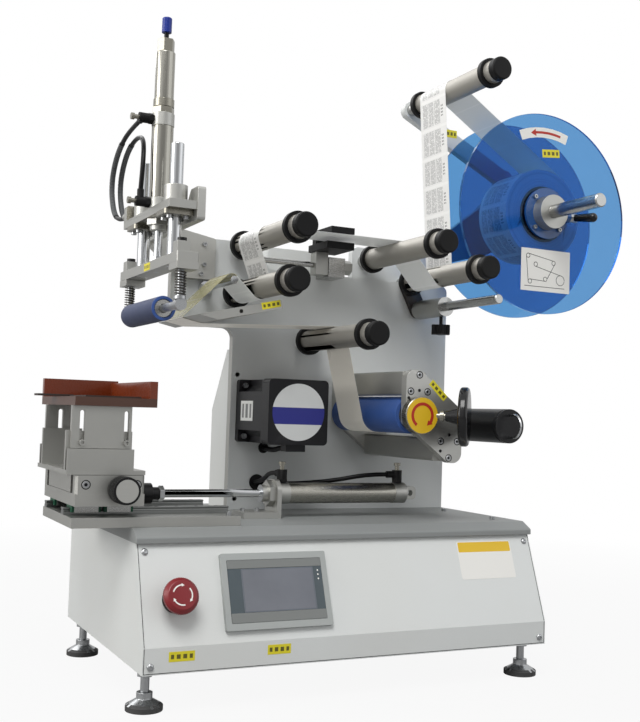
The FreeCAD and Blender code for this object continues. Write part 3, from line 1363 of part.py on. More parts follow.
def label_web():
    t = web_thickness
    g = web_gap
    r = roller_radius + g
    place = {n: (x, lid_z + z) for n, (x, z) in roller_places.items()}
    ax, az = place["a"]
    bx, bz = place["b"]
    cx, cz = place["c"]
    dx, dz = place["d"]
    ex, ez = place["e"]
    fx, fz = place["f"]
    tx, tz = traction_x(), traction_z()
    rr = peel_rod_radius + g

    def tangent(c0, r0, c1, r1):
        """Ends of the straight run that leaves circle 0 and meets circle 1, radii signed by side."""
        vx, vz = c1[0] - c0[0], c1[1] - c0[1]
        length = math.hypot(vx, vz)
        base = math.atan2(vz, vx)
        turn = base + math.acos(max(-1.0, min(1.0, (r0 - r1) / length)))
        n = (math.cos(turn), math.sin(turn))
        return (c0[0] + n[0] * r0, c0[1] + n[1] * r0), (c1[0] + n[0] * r1, c1[1] + n[1] * r1)

    tip = peel_point(1, g + 0.2)
    below = peel_point(peel_nose, -peel_thickness - g - 0.2)
    runs = [
        tangent((reel_x, lid_z + reel_z), -roll_radius - g, (ax, az), -r),
        tangent((ax, az), -r, (ex, ez), r),
        tangent((ex, ez), r, (dx, dz), -r),
        tangent((dx, dz), -r, (bx, bz), -r),
        tangent((bx, bz), -r, (cx, cz), r),
        tangent((cx, cz), r, (peel_rod_x, lid_z + peel_rod_z), -rr),
        tangent((peel_rod_x, lid_z + peel_rod_z), -rr, tip, -0.1),
        tangent(below, 0.1, (fx, fz), r),
        tangent((fx, fz), r, (tx, tz), -(traction_radius + g)),
    ]
    solids = []
    for p, q in runs:
        v = Vector(q[0] - p[0], 0, q[1] - p[1])
        length = v.Length
        v.normalize()
        n = Vector(-v.z, 0, v.x)
        a = Vector(p[0], web_start, p[1]).add(v * 1.0)
        b = a.add(v * (length - 2.0))
        half = n * (t / 2)
        loop = Part.makePolygon([a.add(half), b.add(half), b.sub(half), a.sub(half), a.add(half)])
        solids.append(Part.Face(loop).extrude(Vector(0, web_width, 0)))
    add("label_web", solids)


def screws(extra):
    solids = list(extra)
    for x in (20, cabinet_width - 20):
        solids.append(cap_screw(panel_point(x, 100, 0), panel_out, 4))
        solids.append(cap_screw(Vector(x, 0, cabinet_z + 10), Vector(0, -1, 0), 4))
    for x, z in ((410, 320), (500, 320)):
        solids.append(cap_screw(Vector(x, plate_back + bracket_thickness, lid_z + z), Vector(0, 1, 0), 6))
    for x, z in ((139, 362), (139, 334), (135, 321)):
        solids.append(cap_screw(Vector(x, plate_front - 12, lid_z + z), Vector(0, -1, 0), 4))
    for y in (table_front + 10, table_front + table_depth / 2):
        solids.append(cap_screw(Vector(120, y, lid_z + table_base_thickness), Vector(0, 0, 1), 4))
    for dx in (-40, -20):
        solids.append(cap_screw(Vector(table_barrel_start - head_length - 6 + dx, table_cylinder_y,
                                       lid_z + 8), Vector(0, 0, 1), 4))
    add("machine_screws", solids)


def main():
    cabinet()
    feet()
    panel_items()
    cabinet_fittings()
    control_modules()
    frame_plate()
    reel_bracket()
    rear_cover()
    heads = drive_frame()
    traction()
    pinch_handle()
    housing = rewinder()
    heads += motor()
    drive_belt()
    guide_rollers()
    reel()
    peel_unit()
    sensor()
    dancer()
    press_frame()
    z1, z2, z3 = press_cylinder()
    hoses()
    press_carriage()
    press_yoke()
    zt, y0, y1 = table_unit()
    fixture(zt, y0, y1)
    table_cylinder()
    fittings(z1, z2, z3)
    label_web()
    add("roller_axles", [housing])
    screws(heads)

    move = Vector(-origin_x, -origin_y, 0)
    for name, solids in parts.items():
        shape = solids[0] if len(solids) == 1 else Part.makeCompound(solids)
        shape = shape.translated(move)
        if not shape.isValid():
            print("invalid", name)
        shape.exportStep("parts/" + name + ".step")
    print(len(parts), "nodes")


origin_x = (reel_x + reel_radius + nest_left - 22) / 2
origin_y = (cabinet_depth - 15) / 2

main()
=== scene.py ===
import json
from math import acos, atan2, ceil, cos, hypot, pi, radians, sin

import bpy
import bmesh
from mathutils import Matrix, Vector


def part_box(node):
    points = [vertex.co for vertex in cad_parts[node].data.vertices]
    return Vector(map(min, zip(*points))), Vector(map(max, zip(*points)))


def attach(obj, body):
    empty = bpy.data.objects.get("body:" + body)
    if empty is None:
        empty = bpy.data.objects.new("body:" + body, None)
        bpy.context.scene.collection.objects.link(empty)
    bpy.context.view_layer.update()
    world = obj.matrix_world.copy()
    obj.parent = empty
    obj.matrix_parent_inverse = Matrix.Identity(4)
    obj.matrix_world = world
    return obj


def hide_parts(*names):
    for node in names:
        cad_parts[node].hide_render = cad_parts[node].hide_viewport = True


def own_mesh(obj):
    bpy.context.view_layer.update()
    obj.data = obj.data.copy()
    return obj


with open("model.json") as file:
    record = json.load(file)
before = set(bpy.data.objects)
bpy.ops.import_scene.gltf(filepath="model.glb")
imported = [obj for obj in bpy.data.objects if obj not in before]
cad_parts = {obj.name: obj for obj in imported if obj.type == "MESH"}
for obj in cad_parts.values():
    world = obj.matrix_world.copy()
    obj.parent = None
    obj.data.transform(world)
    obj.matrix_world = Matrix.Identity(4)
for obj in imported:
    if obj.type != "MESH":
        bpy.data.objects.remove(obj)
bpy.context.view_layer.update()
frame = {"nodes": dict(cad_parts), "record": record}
print("stage: frame loaded,", len(frame["nodes"]), "nodes")

bodyOf = {node: body for body, nodes in frame["record"]["behaviour"]["bodies"].items() for node in nodes}
shellLow = Vector(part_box("cabinet_shell")[0])
corner = Vector((shellLow.x, shellLow.y, 0.0))      # front left corner of the cabinet, on the floor


def at(x, y, z):
    # millimetres from the cabinet's front left corner and the floor, to metres
    return corner + Vector((x, y, z)) / 1000


def millimetres(point):
    return (Vector(point) - corner) * 1000


def middle(node):
    low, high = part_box(node)
    return millimetres((Vector(low) + Vector(high)) / 2)


def newItem(name, data):
    made = bpy.data.objects.new(name, data)
    bpy.context.scene.collection.objects.link(made)
    return made


# the sloping front panel: up from its bend, out of its face
panel = {"bend": 74.0, "rise": 108.0, "run": 41.0}
lean = atan2(panel["run"], panel["rise"])
panelUp = Vector((0, sin(lean), cos(lean)))
panelOut = Vector((0, -cos(lean), sin(lean)))


def onPanel(x, up, out):
    return at(x, 0, panel["bend"]) + (panelUp * up + panelOut * out) / 1000


camera = {
    "place": (-0.69305, -1.27880, 0.33180),
    "right": (0.897538, -0.439748, 0.032361),
    "up": (-0.052177, -0.033046, 0.998091),
    "back": (-0.437839, -0.897513, -0.052604),
    "lens": 52.51,
    "shift": (0.00477, -0.0016),
}


def makeCamera():
    data = bpy.data.cameras.new("camera")
    data.lens = camera["lens"]
    data.sensor_width = 36
    data.sensor_fit = "AUTO"
    data.shift_x, data.shift_y = camera["shift"]
    data.clip_start = 0.05
    made = newItem("camera", data)
    turn = Matrix((camera["right"], camera["up"], camera["back"])).transposed()
    made.matrix_world = Matrix.Translation(camera["place"]) @ turn.to_4x4()
    bpy.context.scene.camera = made


makeCamera()


def colour(code):
    # screen colour to the linear values that the shaders use
    parts = [int(code[i:i + 2], 16) / 255 for i in (1, 3, 5)]
    return tuple(c / 12.92 if c < 0.04045 else ((c + 0.055) / 1.055) ** 2.4 for c in parts) + (1.0,)


class Wire:
    # one socket; sums on it add Math nodes
    def __init__(self, tree, socket):
        self.tree, self.socket = tree, socket

    def out(self, name):
        return Wire(self.tree, self.socket.node.outputs[name])

    def math(self, operation, *values):
        return self.tree.node("ShaderNodeMath", dict(enumerate(values)), operation=operation)

    def __add__(self, other):
        return self.math("ADD", self, other)

    def __radd__(self, other):
        return self.math("ADD", other, self)

    def __sub__(self, other):
        return self.math("SUBTRACT", self, other)

    def __rsub__(self, other):
        return self.math("SUBTRACT", other, self)

    def __mul__(self, other):
        return self.math("MULTIPLY", self, other)

    def __rmul__(self, other):
        return self.math("MULTIPLY", other, self)

    def __truediv__(self, other):
        return self.math("DIVIDE", self, other)

    def fract(self):
        return self.math("FRACT", self)

    def floor(self):
        return self.math("FLOOR", self)

    def size(self):
        return self.math("ABSOLUTE", self)

    def above(self, limit):
        return self.math("GREATER_THAN", self, limit)

    def below(self, limit):
        return self.math("LESS_THAN", self, limit)

    def within(self, low, high):
        return self.above(low) * self.below(high)

    def rise(self, low, high):
        # 0 below low, 1 above high
        return ((self - low) * (1 / (high - low))).larger(0.0).smaller(1.0)

    def larger(self, other):
        return self.math("MAXIMUM", self, other)

    def smaller(self, other):
        return self.math("MINIMUM", self, other)


class Tree:
    def __init__(self, nodeTree):
        self.nodeTree = nodeTree

    def node(self, kind, sockets=None, output=0, **settings):
        made = self.nodeTree.nodes.new(kind)
        for key, value in settings.items():
            setattr(made, key, value)
        for key, value in (sockets or {}).items():
            if isinstance(value, Wire):
                self.nodeTree.links.new(value.socket, made.inputs[key])
            else:
                made.inputs[key].default_value = value
        return Wire(self, made.outputs[output]) if len(made.outputs) else None


class Finish(Tree):
    # a material, with the few nodes that its patterns share
    def __init__(self, name):
        self.material = bpy.data.materials.new(name)
        self.material.use_nodes = True
        super().__init__(self.material.node_tree)
        self.nodeTree.nodes.clear()
        self.place = self.node("ShaderNodeTexCoord", output="Object")

    def stretched(self, scale):
        return self.node("ShaderNodeMapping", {"Vector": self.place, "Scale": scale})

    def noise(self, scale, detail=2.0, vector=None, roughness=0.5):
        return self.node("ShaderNodeTexNoise", {"Vector": vector or self.place, "Scale": scale, "Detail": detail,
                                                "Roughness": roughness}, "Fac")

    def mix(self, share, first, second):
        return self.node("ShaderNodeMix", {0: share, 6: first, 7: second}, 2, data_type="RGBA")

    def bump(self, height, distance, strength):
        return self.node("ShaderNodeBump", {"Height": height, "Distance": distance, "Strength": strength})

    def xyz(self, vector=None):
        split = self.node("ShaderNodeSeparateXYZ", {0: vector or self.place})
        return split.out("X"), split.out("Y"), split.out("Z")

    def grid(self, x, y, detail):
        spot = self.node("ShaderNodeCombineXYZ", {"X": x, "Y": y})
        return self.node("ShaderNodeTexNoise", {"Vector": spot, "Scale": 1.0, "Detail": detail}, "Fac",
                         noise_dimensions="2D")

    def pattern(self):
        return self.xyz(self.node("ShaderNodeUVMap", uv_map="pattern"))

    def close(self, sockets):
        shader = self.node("ShaderNodeBsdfPrincipled", sockets)
        self.node("ShaderNodeOutputMaterial", {"Surface": shader})
        return self.material


def darker(tone, share):
    return tuple(c * share for c in tone[:3]) + (1.0,)


def powderCoat(name, code, rough=0.42, grain=620, warm=None):
    # stoved powder: orange peel about a millimetre across, and very slight clouding
    f = Finish(name)
    peel = f.noise(grain, 2.0)
    cloud = f.noise(5.0, 3.0)
    base = colour(code)
    tint = f.mix(cloud, warm or darker(base, 0.93), darker(base, 1.02))
    specks = f.noise(2400, 1.0)
    tint = f.mix(specks.within(0.64, 0.7) * 0.25, tint, darker(base, 0.8))
    return f.close({"Base Color": tint, "Roughness": (peel - 0.5) * 0.22 + (cloud - 0.5) * 0.1 + rough,
                    "Specular IOR Level": 0.45, "Normal": f.bump(peel, 0.0001, 0.55)})


def brushed(name, code, grain, rough, metallic=1.0, spread=0.22):
    # fine scratches drawn out along the low-scale axes
    f = Finish(name)
    lines = f.noise(9.0, 4.0, f.stretched(grain), 0.62)
    cloud = f.noise(14.0, 2.0)
    base = colour(code)
    tint = f.mix(lines, darker(base, 0.82), darker(base, 1.06))
    tint = f.mix(cloud * 0.3, tint, darker(base, 0.9))
    return f.close({"Base Color": tint, "Metallic": metallic,
                    "Roughness": (lines - 0.5) * spread + (cloud - 0.5) * 0.08 + rough,
                    "Normal": f.bump(lines, 0.00003, 0.5)})


def blasted(name, code, rough, metallic=0.9, grain=1500):
    # clear anodised aluminium with an even fine grain
    f = Finish(name)
    fine = f.noise(grain, 2.0)
    cloud = f.noise(11.0, 3.0)
    base = colour(code)
    tint = f.mix(cloud, darker(base, 0.9), darker(base, 1.05))
    return f.close({"Base Color": f.mix(fine * 0.2, tint, darker(base, 0.8)), "Metallic": metallic,
                    "Roughness": (fine - 0.5) * 0.16 + (cloud - 0.5) * 0.1 + rough,
                    "Normal": f.bump(fine, 0.00004, 0.5)})


def moulded(name, code, rough=0.5, grain=1100, depth=0.00005, coat=0.0, metallic=0.0, dust=0.12, shine=0.5):
    # plastic or painted steel: slight texture, and a little dust where it clouds
    f = Finish(name)
    fine = f.noise(grain, 3.0)
    cloud = f.noise(16.0, 4.0)
    base = colour(code)
    pale = tuple(c + (0.32 - c) * 0.18 for c in base[:3]) + (1.0,)
    tint = f.mix(cloud.above(0.5) * (cloud - 0.5) * 2.0 * dust * 4.0, base, pale)
    return f.close({"Base Color": tint, "Metallic": metallic, "Coat Weight": coat, "Coat Roughness": 0.08,
                    "Specular IOR Level": shine,
                    "Roughness": (fine - 0.5) * 0.2 + (cloud - 0.5) * 0.16 + rough,
                    "Normal": f.bump(fine, depth, 0.5)})


def rubber(name, code, rough):
    # ground rubber: fine rings round the roller and a bloom
    f = Finish(name)
    rings = f.noise(6.0, 3.0, f.stretched((2, 260, 2)))
    bloom = f.noise(24.0, 4.0)
    base = colour(code)
    pale = tuple(c + (0.5 - c) * 0.14 for c in base[:3]) + (1.0,)
    tint = f.mix(bloom, darker(base, 0.88), pale)
    return f.close({"Base Color": f.mix(rings * 0.25, tint, darker(base, 0.8)),
                    "Roughness": (rings - 0.5) * 0.16 + (bloom - 0.5) * 0.14 + rough,
                    "Normal": f.bump(rings, 0.00006, 0.5)})


def acrylicSheet(name, code):
    # tinted sheet; rays to the lamps pass straight through it, so that the roll behind it stays lit
    f = Finish(name)
    smear = f.noise(18.0, 3.0)
    fine = f.noise(160.0, 3.0)
    base = colour(code)
    sheet = f.node("ShaderNodeBsdfPrincipled",
                   {"Base Color": f.mix(smear, darker(base, 0.95), darker(base, 1.03)),
                    "Transmission Weight": 1.0, "IOR": 1.25,
                    "Roughness": smear.above(0.6) * 0.03 + fine * 0.02 + 0.01})
    clear = f.node("ShaderNodeBsdfTransparent", {"Color": base})
    shadow = f.node("ShaderNodeLightPath", output="Is Shadow Ray")
    both = f.node("ShaderNodeMixShader", {0: shadow, 1: sheet, 2: clear})
    f.node("ShaderNodeOutputMaterial", {"Surface": both})
    return f.material


def linerPaper(name, code, alpha=1.0, gap=0.05, sheen=0.4, paintedGlow=0.0):
    # glassine with the labels on it seen as slightly darker fields; the emission strength argument paints a glow on
    # the sheet in its own tint, painted light that stands in for light coming through it
    f = Finish(name)
    u, _, _ = f.pattern()
    fibre = f.noise(300.0, 4.0)
    cloud = f.noise(30.0, 3.0)
    base = colour(code)
    between = u.fract().below(gap)
    tint = f.mix(between * 0.75, base, tuple(c + (0.85 - c) * 0.55 for c in base[:3]) + (1.0,))
    tint = f.mix(fibre * 0.3, tint, darker(base, 0.86))
    return f.close({"Base Color": tint, "Roughness": (cloud - 0.5) * 0.15 + sheen,
                    # painted light: the sheet glows in its own tint, as if lit from behind
                    "Emission Color": tint, "Emission Strength": paintedGlow,
                    "Alpha": alpha if alpha == 1.0 else cloud * 0.12 + alpha,
                    "Normal": f.bump(cloud, 0.0004, 0.25)})


def labelPrint():
    # rows of grey marks in three blocks with a few heavier ones beside them; nothing that can be read
    f = Finish("labelPrint")
    u, v, _ = f.pattern()
    along = u.fract()
    field = along.within(0.075, 0.985)
    inner = along.within(0.11, 0.93)
    rows = v * 44.0
    seed = rows.floor() * 7.31
    words = f.grid(u * 16.0, seed, 2.0)
    blocks = v.within(0.235, 0.455).larger(v.within(0.485, 0.675)).larger(v.within(0.705, 0.9))
    lines = rows.fract().within(0.2, 0.78) * words.above(0.41) * blocks * inner
    heavyRow = (v * 20.0).fract().within(0.25, 0.85) * v.within(0.12, 0.205)
    heavy = (u * 9.0).fract().below(0.55) * along.within(0.3, 0.72) * heavyRow
    paper = colour("#f4f4f3")
    fibre = f.noise(500.0, 3.0)
    tint = f.mix(field * 0.5, paper, colour("#e6e6e5"))
    tint = f.mix(lines * 0.72, tint, colour("#6e6e70"))
    tint = f.mix(heavy * 0.85, tint, colour("#2c2c2e"))
    tint = f.mix(fibre * 0.08, tint, colour("#c9c9c6"))
    return f.close({"Base Color": tint, "Roughness": field * -0.12 + 0.5,
                    "Normal": f.bump(field + fibre * 0.1, 0.00006, 0.6)})


def markedSticker(name, code, ink, count, low=0.28, high=0.72, edge=0.08):
    # a plain sticker with a row of short bars
    f = Finish(name)
    u, v, _ = f.pattern()
    cell = u * count
    stroke = f.grid(cell.floor() * 3.7, (v * 5.0).floor(), 0.0)
    bars = cell.fract().within(0.2, 0.8) * v.within(low, high) * u.within(edge, 1 - edge) * stroke.above(0.36)
    worn = f.noise(120.0, 4.0)
    base = colour(code)
    tint = f.mix(bars * 0.88, f.mix(worn * 0.25, base, darker(base, 0.85)), colour(ink))
    return f.close({"Base Color": tint, "Roughness": (worn - 0.5) * 0.2 + 0.45})


def rollEdge():
    # the side of a wound roll: hundreds of thin turns
    f = Finish("rollEdge")
    axis = at(*middle("label_roll"))
    x, _, z = f.xyz()
    x, z = x - axis.x, z - axis.z
    square = x * x + z * z
    away = square.math("SQRT", square)
    turns, bands = (f.node("ShaderNodeTexNoise", {"W": away * scale, "Scale": 1.0, "Detail": detail}, "Fac",
                           noise_dimensions="1D") for scale, detail in ((2600.0, 3.0), (220.0, 1.0)))
    tint = f.mix(turns, colour("#cfcfc9"), colour("#f6f6f2"))
    tint = f.mix(bands.above(0.56) * 0.35, tint, colour("#b9b9b4"))
    return f.close({"Base Color": tint, "Roughness": turns * 0.2 + 0.55, "Normal": f.bump(turns, 0.0001, 0.7)})


def motorRound():
    f = Finish("motorRound")
    _, _, z = f.xyz()
    centre = middle("stepper_motor").z / 1000
    worn = f.noise(60.0, 4.0)
    stripe = (z - centre).within(-0.0115, 0.0105)
    tint = f.mix(worn * 0.3, colour("#dcdedd"), colour("#c2c5c6"))
    return f.close({"Base Color": f.mix(stripe, tint, colour("#2b2f86")), "Metallic": 0.25,
                    "Roughness": (worn - 0.5) * 0.2 + 0.38})


def displayGlass():
    # a dark display behind glass: soft fields of a resting picture
    f = Finish("displayGlass")
    u, v, _ = f.pattern()
    haze = f.noise(26.0, 3.0)
    tint = f.mix(haze, colour("#5f636b"), colour("#7b7e87"))
    tint = f.mix(u * 0.55, tint, colour("#646873"))
    picture = u.within(0.02, 0.98) * v.within(0.03, 0.97)
    tint = f.mix((1 - picture) * 0.5, tint, colour("#4e5862"))
    return f.close({"Base Color": tint, "Roughness": haze * 0.12 + 0.16, "Coat Weight": 0.5,
                    "Coat Roughness": 0.05})


def makeFinishes():
    return {
        "white": powderCoat("whiteCoat", "#dfe3e4", warm=colour("#d9dad7")),
        "grey": powderCoat("greyCoat", "#8e9191", rough=0.46, grain=760),
        "plate": powderCoat("plateCoat", "#d8dbdb", rough=0.44, grain=700),
        "alloy": blasted("anodised", "#b4b4b0", rough=0.4),
        "alloyFace": brushed("brushedAlloy", "#c2c2be", grain=(5, 5, 360), rough=0.34, metallic=0.7),
        "alloyLong": brushed("alloyAlongX", "#9b9c99", grain=(4, 300, 300), rough=0.38, metallic=0.9),
        "tube": brushed("turnedTube", "#b5b2ab", grain=(4, 330, 4), rough=0.52, metallic=0.75, spread=0.14),
        "steel": brushed("groundSteel", "#b8b8b6", grain=(40, 40, 300), rough=0.26),
        "zinc": blasted("zincSteel", "#b4b6b8", rough=0.3, metallic=1.0, grain=900),
        "railSteel": brushed("railSteel", "#8f9190", grain=(3, 260, 260), rough=0.3, spread=0.1),
        "chrome": brushed("chromeRod", "#cfd1d3", grain=(300, 300, 6), rough=0.13, spread=0.08),
        "barrel": brushed("stainlessBarrel", "#a9a79f", grain=(8, 260, 260), rough=0.26, spread=0.14),
        "barrelUp": brushed("stainlessUpright", "#a9a79f", grain=(260, 260, 8), rough=0.18, spread=0.14),
        "nickel": blasted("nickel", "#97948a", rough=0.28, metallic=1.0, grain=700),
        "black": moulded("blackPlastic", "#0e0e0f", rough=0.5, dust=0.04, shine=0.2),
        "gloss": moulded("glossBlack", "#0c0c0e", rough=0.16, coat=0.2, dust=0.03, shine=0.35),
        "satin": moulded("blackSteel", "#17171a", rough=0.4, metallic=0.1, dust=0.06, shine=0.26),
        "anodBlack": moulded("blackAnodised", "#111113", rough=0.34, dust=0.04, shine=0.32),
        "brown": moulded("darkArm", "#2b2421", rough=0.34, metallic=0.3, dust=0.1),
        "rubber": rubber("blackRubber", "#232324", rough=0.66),
        "blueRubber": rubber("blueRubber", "#0f4c9b", rough=0.5),
        "pressBlue": rubber("pressRubber", "#1a2d57", rough=0.68),
        "pressEnd": rubber("pressEnd", "#1d4c98", rough=0.5),
        "hose": moulded("hoseBlack", "#0b0b0d", rough=0.36, dust=0.03, shine=0.16),
        "red": moulded("redButton", "#7c111a", rough=0.34, coat=0.15, dust=0.03),
        "whiteMark": moulded("whiteMark", "#efeeea", rough=0.5, dust=0.02),
        "redMark": moulded("redMark", "#b62c1e", rough=0.5, dust=0.02),
        "acrylic": acrylicSheet("blueAcrylic", "#5c95ca"),
        "ringBlue": moulded("ringBlue", "#214f8c", rough=0.25, coat=0.2, dust=0.03),
        "bezel": moulded("panelCase", "#a6aaa9", rough=0.48, dust=0.05),
        "bezelDark": moulded("panelBand", "#7b7e7d", rough=0.5, dust=0.05),
        "slate": moulded("panelGlass", "#3c4a51", rough=0.14, coat=0.6, grain=300, depth=0.000004, dust=0.1),
        "display": displayGlass(),
        "green": moulded("sealGreen", "#12563c", rough=0.5),
        "amber": moulded("amberWall", "#6c2b0f", rough=0.28, coat=0.2, dust=0.04),
        "brownBase": moulded("brownBase", "#4d3329", rough=0.42, dust=0.06),
        "pad": moulded("nestPad", "#2c211c", rough=0.6),
        "knobBlue": moulded("adjusterBlue", "#0d2a86", rough=0.3, shine=0.4),
        "wrapGrey": moulded("wrapGrey", "#5b5d5f", rough=0.55, dust=0.1, shine=0.25),
        # the web's backing paper and bare liner glow with painted light, an emission in place of light coming through
        # the sheet
        "paper": linerPaper("linerBack", "#dcdedd", paintedGlow=0.2),
        "liner": linerPaper("bareLiner", "#e3dfd5", gap=0.0, sheen=0.3, paintedGlow=0.15),
        "film": linerPaper("yellowFilm", "#cbc698", alpha=0.6, gap=0.06, sheen=0.2),
        "springSteel": moulded("springSteel", "#4b4946", rough=0.32, metallic=0.75, dust=0.05),
        "print": labelPrint(),
        "rollEdge": rollEdge(),
        "board": moulded("boardCore", "#a98f68", rough=0.8),
        "yellowMark": markedSticker("yellowSticker", "#e3d62c", "#2a2a18", 4),
        "yellowPlain": moulded("yellowDisc", "#e6bd25", rough=0.42, dust=0.03),
        "whiteSticker": markedSticker("whiteSticker", "#e4e5e3", "#5a5c5e", 3, 0.15, 0.85, 0.12),
        "motorRound": motorRound(),
        "copper": blasted("modulePaint", "#3f6f52", rough=0.5, metallic=0.0),
    }


finish = makeFinishes()
print("stage: finishes made,", len(finish))


def newObject(name, mesh, finishes):
    for key in finishes:
        mesh.materials.append(finish[key])
    return newItem(name, mesh)


def soften(made, width, segments=2, sharp=32):
    # small radii on the edges, so that they catch the light
    made.data.shade_smooth()
    made.data.set_sharp_from_angle(angle=radians(sharp))
    if width:
        bevel = made.modifiers.new("radii", "BEVEL")
        bevel.width = width / 1000
        bevel.segments = segments
        bevel.limit_method = "ANGLE"
        bevel.angle_limit = radians(sharp)
        bevel.harden_normals = True
    return made


def wholeParts(mesh):
    # the joined solids of a mesh, each as its vertices
    seen, groups = set(), []
    for start in mesh.verts:
        if start in seen:
            continue
        group, stack = [], [start]
        seen.add(start)
        while stack:
            vertex = stack.pop()
            group.append(vertex)
            for edge in vertex.link_edges:
                other = edge.other_vert(vertex)
                if other not in seen:
                    seen.add(other)
                    stack.append(other)
        groups.append(group)
    return groups


def dress(node, base, others=(), radius=0.4, segments=2, drop=None):
    # a finished copy of a CAD node: whole faces, small radii, and a finish for each part of it;
    # a test gets the face's centre and normal, its solid's low and high corner, and its reach from an axis along Y
    mesh = bmesh.new()
    mesh.from_mesh(frame["nodes"][node].data)
    bmesh.ops.remove_doubles(mesh, verts=mesh.verts, dist=0.000002)
    bmesh.ops.dissolve_limit(mesh, angle_limit=radians(0.6), verts=mesh.verts, edges=mesh.edges)
    if drop:
        for group in wholeParts(mesh):
            points = [millimetres(v.co) for v in group]
            if drop(sum(points, Vector()) / len(points)):
                bmesh.ops.delete(mesh, geom=group, context="VERTS")
    if others:
        for group in wholeParts(mesh):
            points = [millimetres(v.co) for v in group]
            low = Vector([min(p[i] for p in points) for i in range(3)])
            high = Vector([max(p[i] for p in points) for i in range(3)])
            for face in {f for v in group for f in v.link_faces}:
                centre, out = millimetres(face.calc_center_median()), face.normal
                corners = [millimetres(v.co) for v in face.verts]

                def reach(x, z):
                    return max(hypot(p.x - x, p.z - z) for p in corners)

                for slot, (_, test) in enumerate(others):
                    if test(centre, out, low, high, reach):
                        face.material_index = slot + 1
                        break
    data = bpy.data.meshes.new(node + "Look")
    mesh.to_mesh(data)
    mesh.free()
    made = newObject(node + "Look", data, [base] + [key for key, _ in others])
    soften(made, radius, segments)
    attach(made, bodyOf[node])
    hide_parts(node)
    return made


class Build:
    # a mesh put together from simple closed forms
    def __init__(self):
        self.mesh = bmesh.new()
        self.uv = self.mesh.loops.layers.uv.new("pattern")

    def prism(self, outline, out, slot=0, uvFrame=None):
        low = [self.mesh.verts.new(p) for p in outline]
        high = [self.mesh.verts.new(p + out) for p in outline]
        faces = [self.mesh.faces.new(high), self.mesh.faces.new(low[::-1])]
        for i in range(len(low)):
            j = (i + 1) % len(low)
            faces.append(self.mesh.faces.new((low[i], low[j], high[j], high[i])))
        for face in faces:
            face.material_index = slot
            if uvFrame:
                origin, right, up = uvFrame
                for loop in face.loops:
                    step = loop.vert.co - origin
                    loop[self.uv].uv = (step.dot(right) / right.length_squared, step.dot(up) / up.length_squared)
        return faces

    def slab(self, centre, right, up, width, height, thick, fillet=0.0, slot=0):
        # rounded plate that stands on centre, width along right and height along up, in millimetres
        right, up = right.normalized(), up.normalized()
        out = right.cross(up)
        outline = []
        for cx, cy, start in ((1, 1, 0), (-1, 1, 90), (-1, -1, 180), (1, -1, 270)):
            steps = 5 if fillet else 1
            for i in range(steps):
                turn = radians(start + (90 * i / (steps - 1) if steps > 1 else 45))
                reach = fillet if steps > 1 else 0
                px = cx * (width / 2 - reach) + reach * cos(turn)
                py = cy * (height / 2 - reach) + reach * sin(turn)
                outline.append(centre + (right * px + up * py) / 1000)
        origin = centre - (right * width / 2 + up * height / 2) / 1000
        return self.prism(outline, out * thick / 1000, slot, (origin, right * width / 1000, up * height / 1000))

    def disc(self, centre, right, up, radius, thick, slot=0, steps=48):
        right, up = right.normalized(), up.normalized()
        outline = [centre + (right * cos(2 * pi * i / steps) + up * sin(2 * pi * i / steps)) * radius / 1000
                   for i in range(steps)]
        origin = centre - (right + up) * radius / 1000
        self.prism(outline, right.cross(up) * thick / 1000, slot, (origin, right * radius / 500, up * radius / 500))

    def arc(self, centre, right, up, radius, width, start, end, thick, slot=0, head=0.0):
        # flat curved bar from start to end degrees, with an arrow head beyond its end
        right, up = right.normalized(), up.normalized()
        steps = max(4, int(abs(end - start) / 6))

        def spot(r, turn):
            return centre + (right * cos(radians(turn)) + up * sin(radians(turn))) * r / 1000

        turns = [start + (end - start) * i / steps for i in range(steps + 1)]
        outer = [spot(radius + width / 2, t) for t in turns]
        inner = [spot(radius - width / 2, t) for t in turns]
        way = 1 if end > start else -1
        self.prism((outer + inner[::-1])[::way], right.cross(up) * thick / 1000, slot)
        if head:
            tip = [spot(radius + head, end), spot(radius, end + way * head * 1.7 * 57.3 / radius),
                   spot(radius - head, end)]
            self.prism(tip[::way], right.cross(up) * thick / 1000, slot)

    def lathe(self, profile, centre, axis, steps=40):
        # closed turned form; profile is (radius, along) in millimetres, from axis to axis
        axis = axis.normalized()
        side = axis.orthogonal().normalized()
        other = axis.cross(side)
        rings = []
        for r, along in profile:
            base = centre + axis * along / 1000
            if r < 1e-6:
                rings.append([self.mesh.verts.new(base)])
            else:
                rings.append([self.mesh.verts.new(base + (side * cos(2 * pi * i / steps)
                                                          + other * sin(2 * pi * i / steps)) * r / 1000)
                              for i in range(steps)])
        for a, b in zip(rings, rings[1:]):
            for i in range(steps):
                j = (i + 1) % steps
                loop = ([a[i], a[j], b[0]] if len(b) == 1 else [a[0], b[j], b[i]] if len(a) == 1
                        else [a[i], a[j], b[j], b[i]])
                self.mesh.faces.new(loop)

    def done(self, name, body, finishes, radius=0.0, sharp=32, node=None):
        bmesh.ops.recalc_face_normals(self.mesh, faces=self.mesh.faces)
        data = bpy.data.meshes.new(name)
        self.mesh.to_mesh(data)
        self.mesh.free()
        made = newObject(name, data, finishes)
        soften(made, radius, sharp=sharp)
        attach(made, body)
        if node:
            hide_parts(node)
        return made


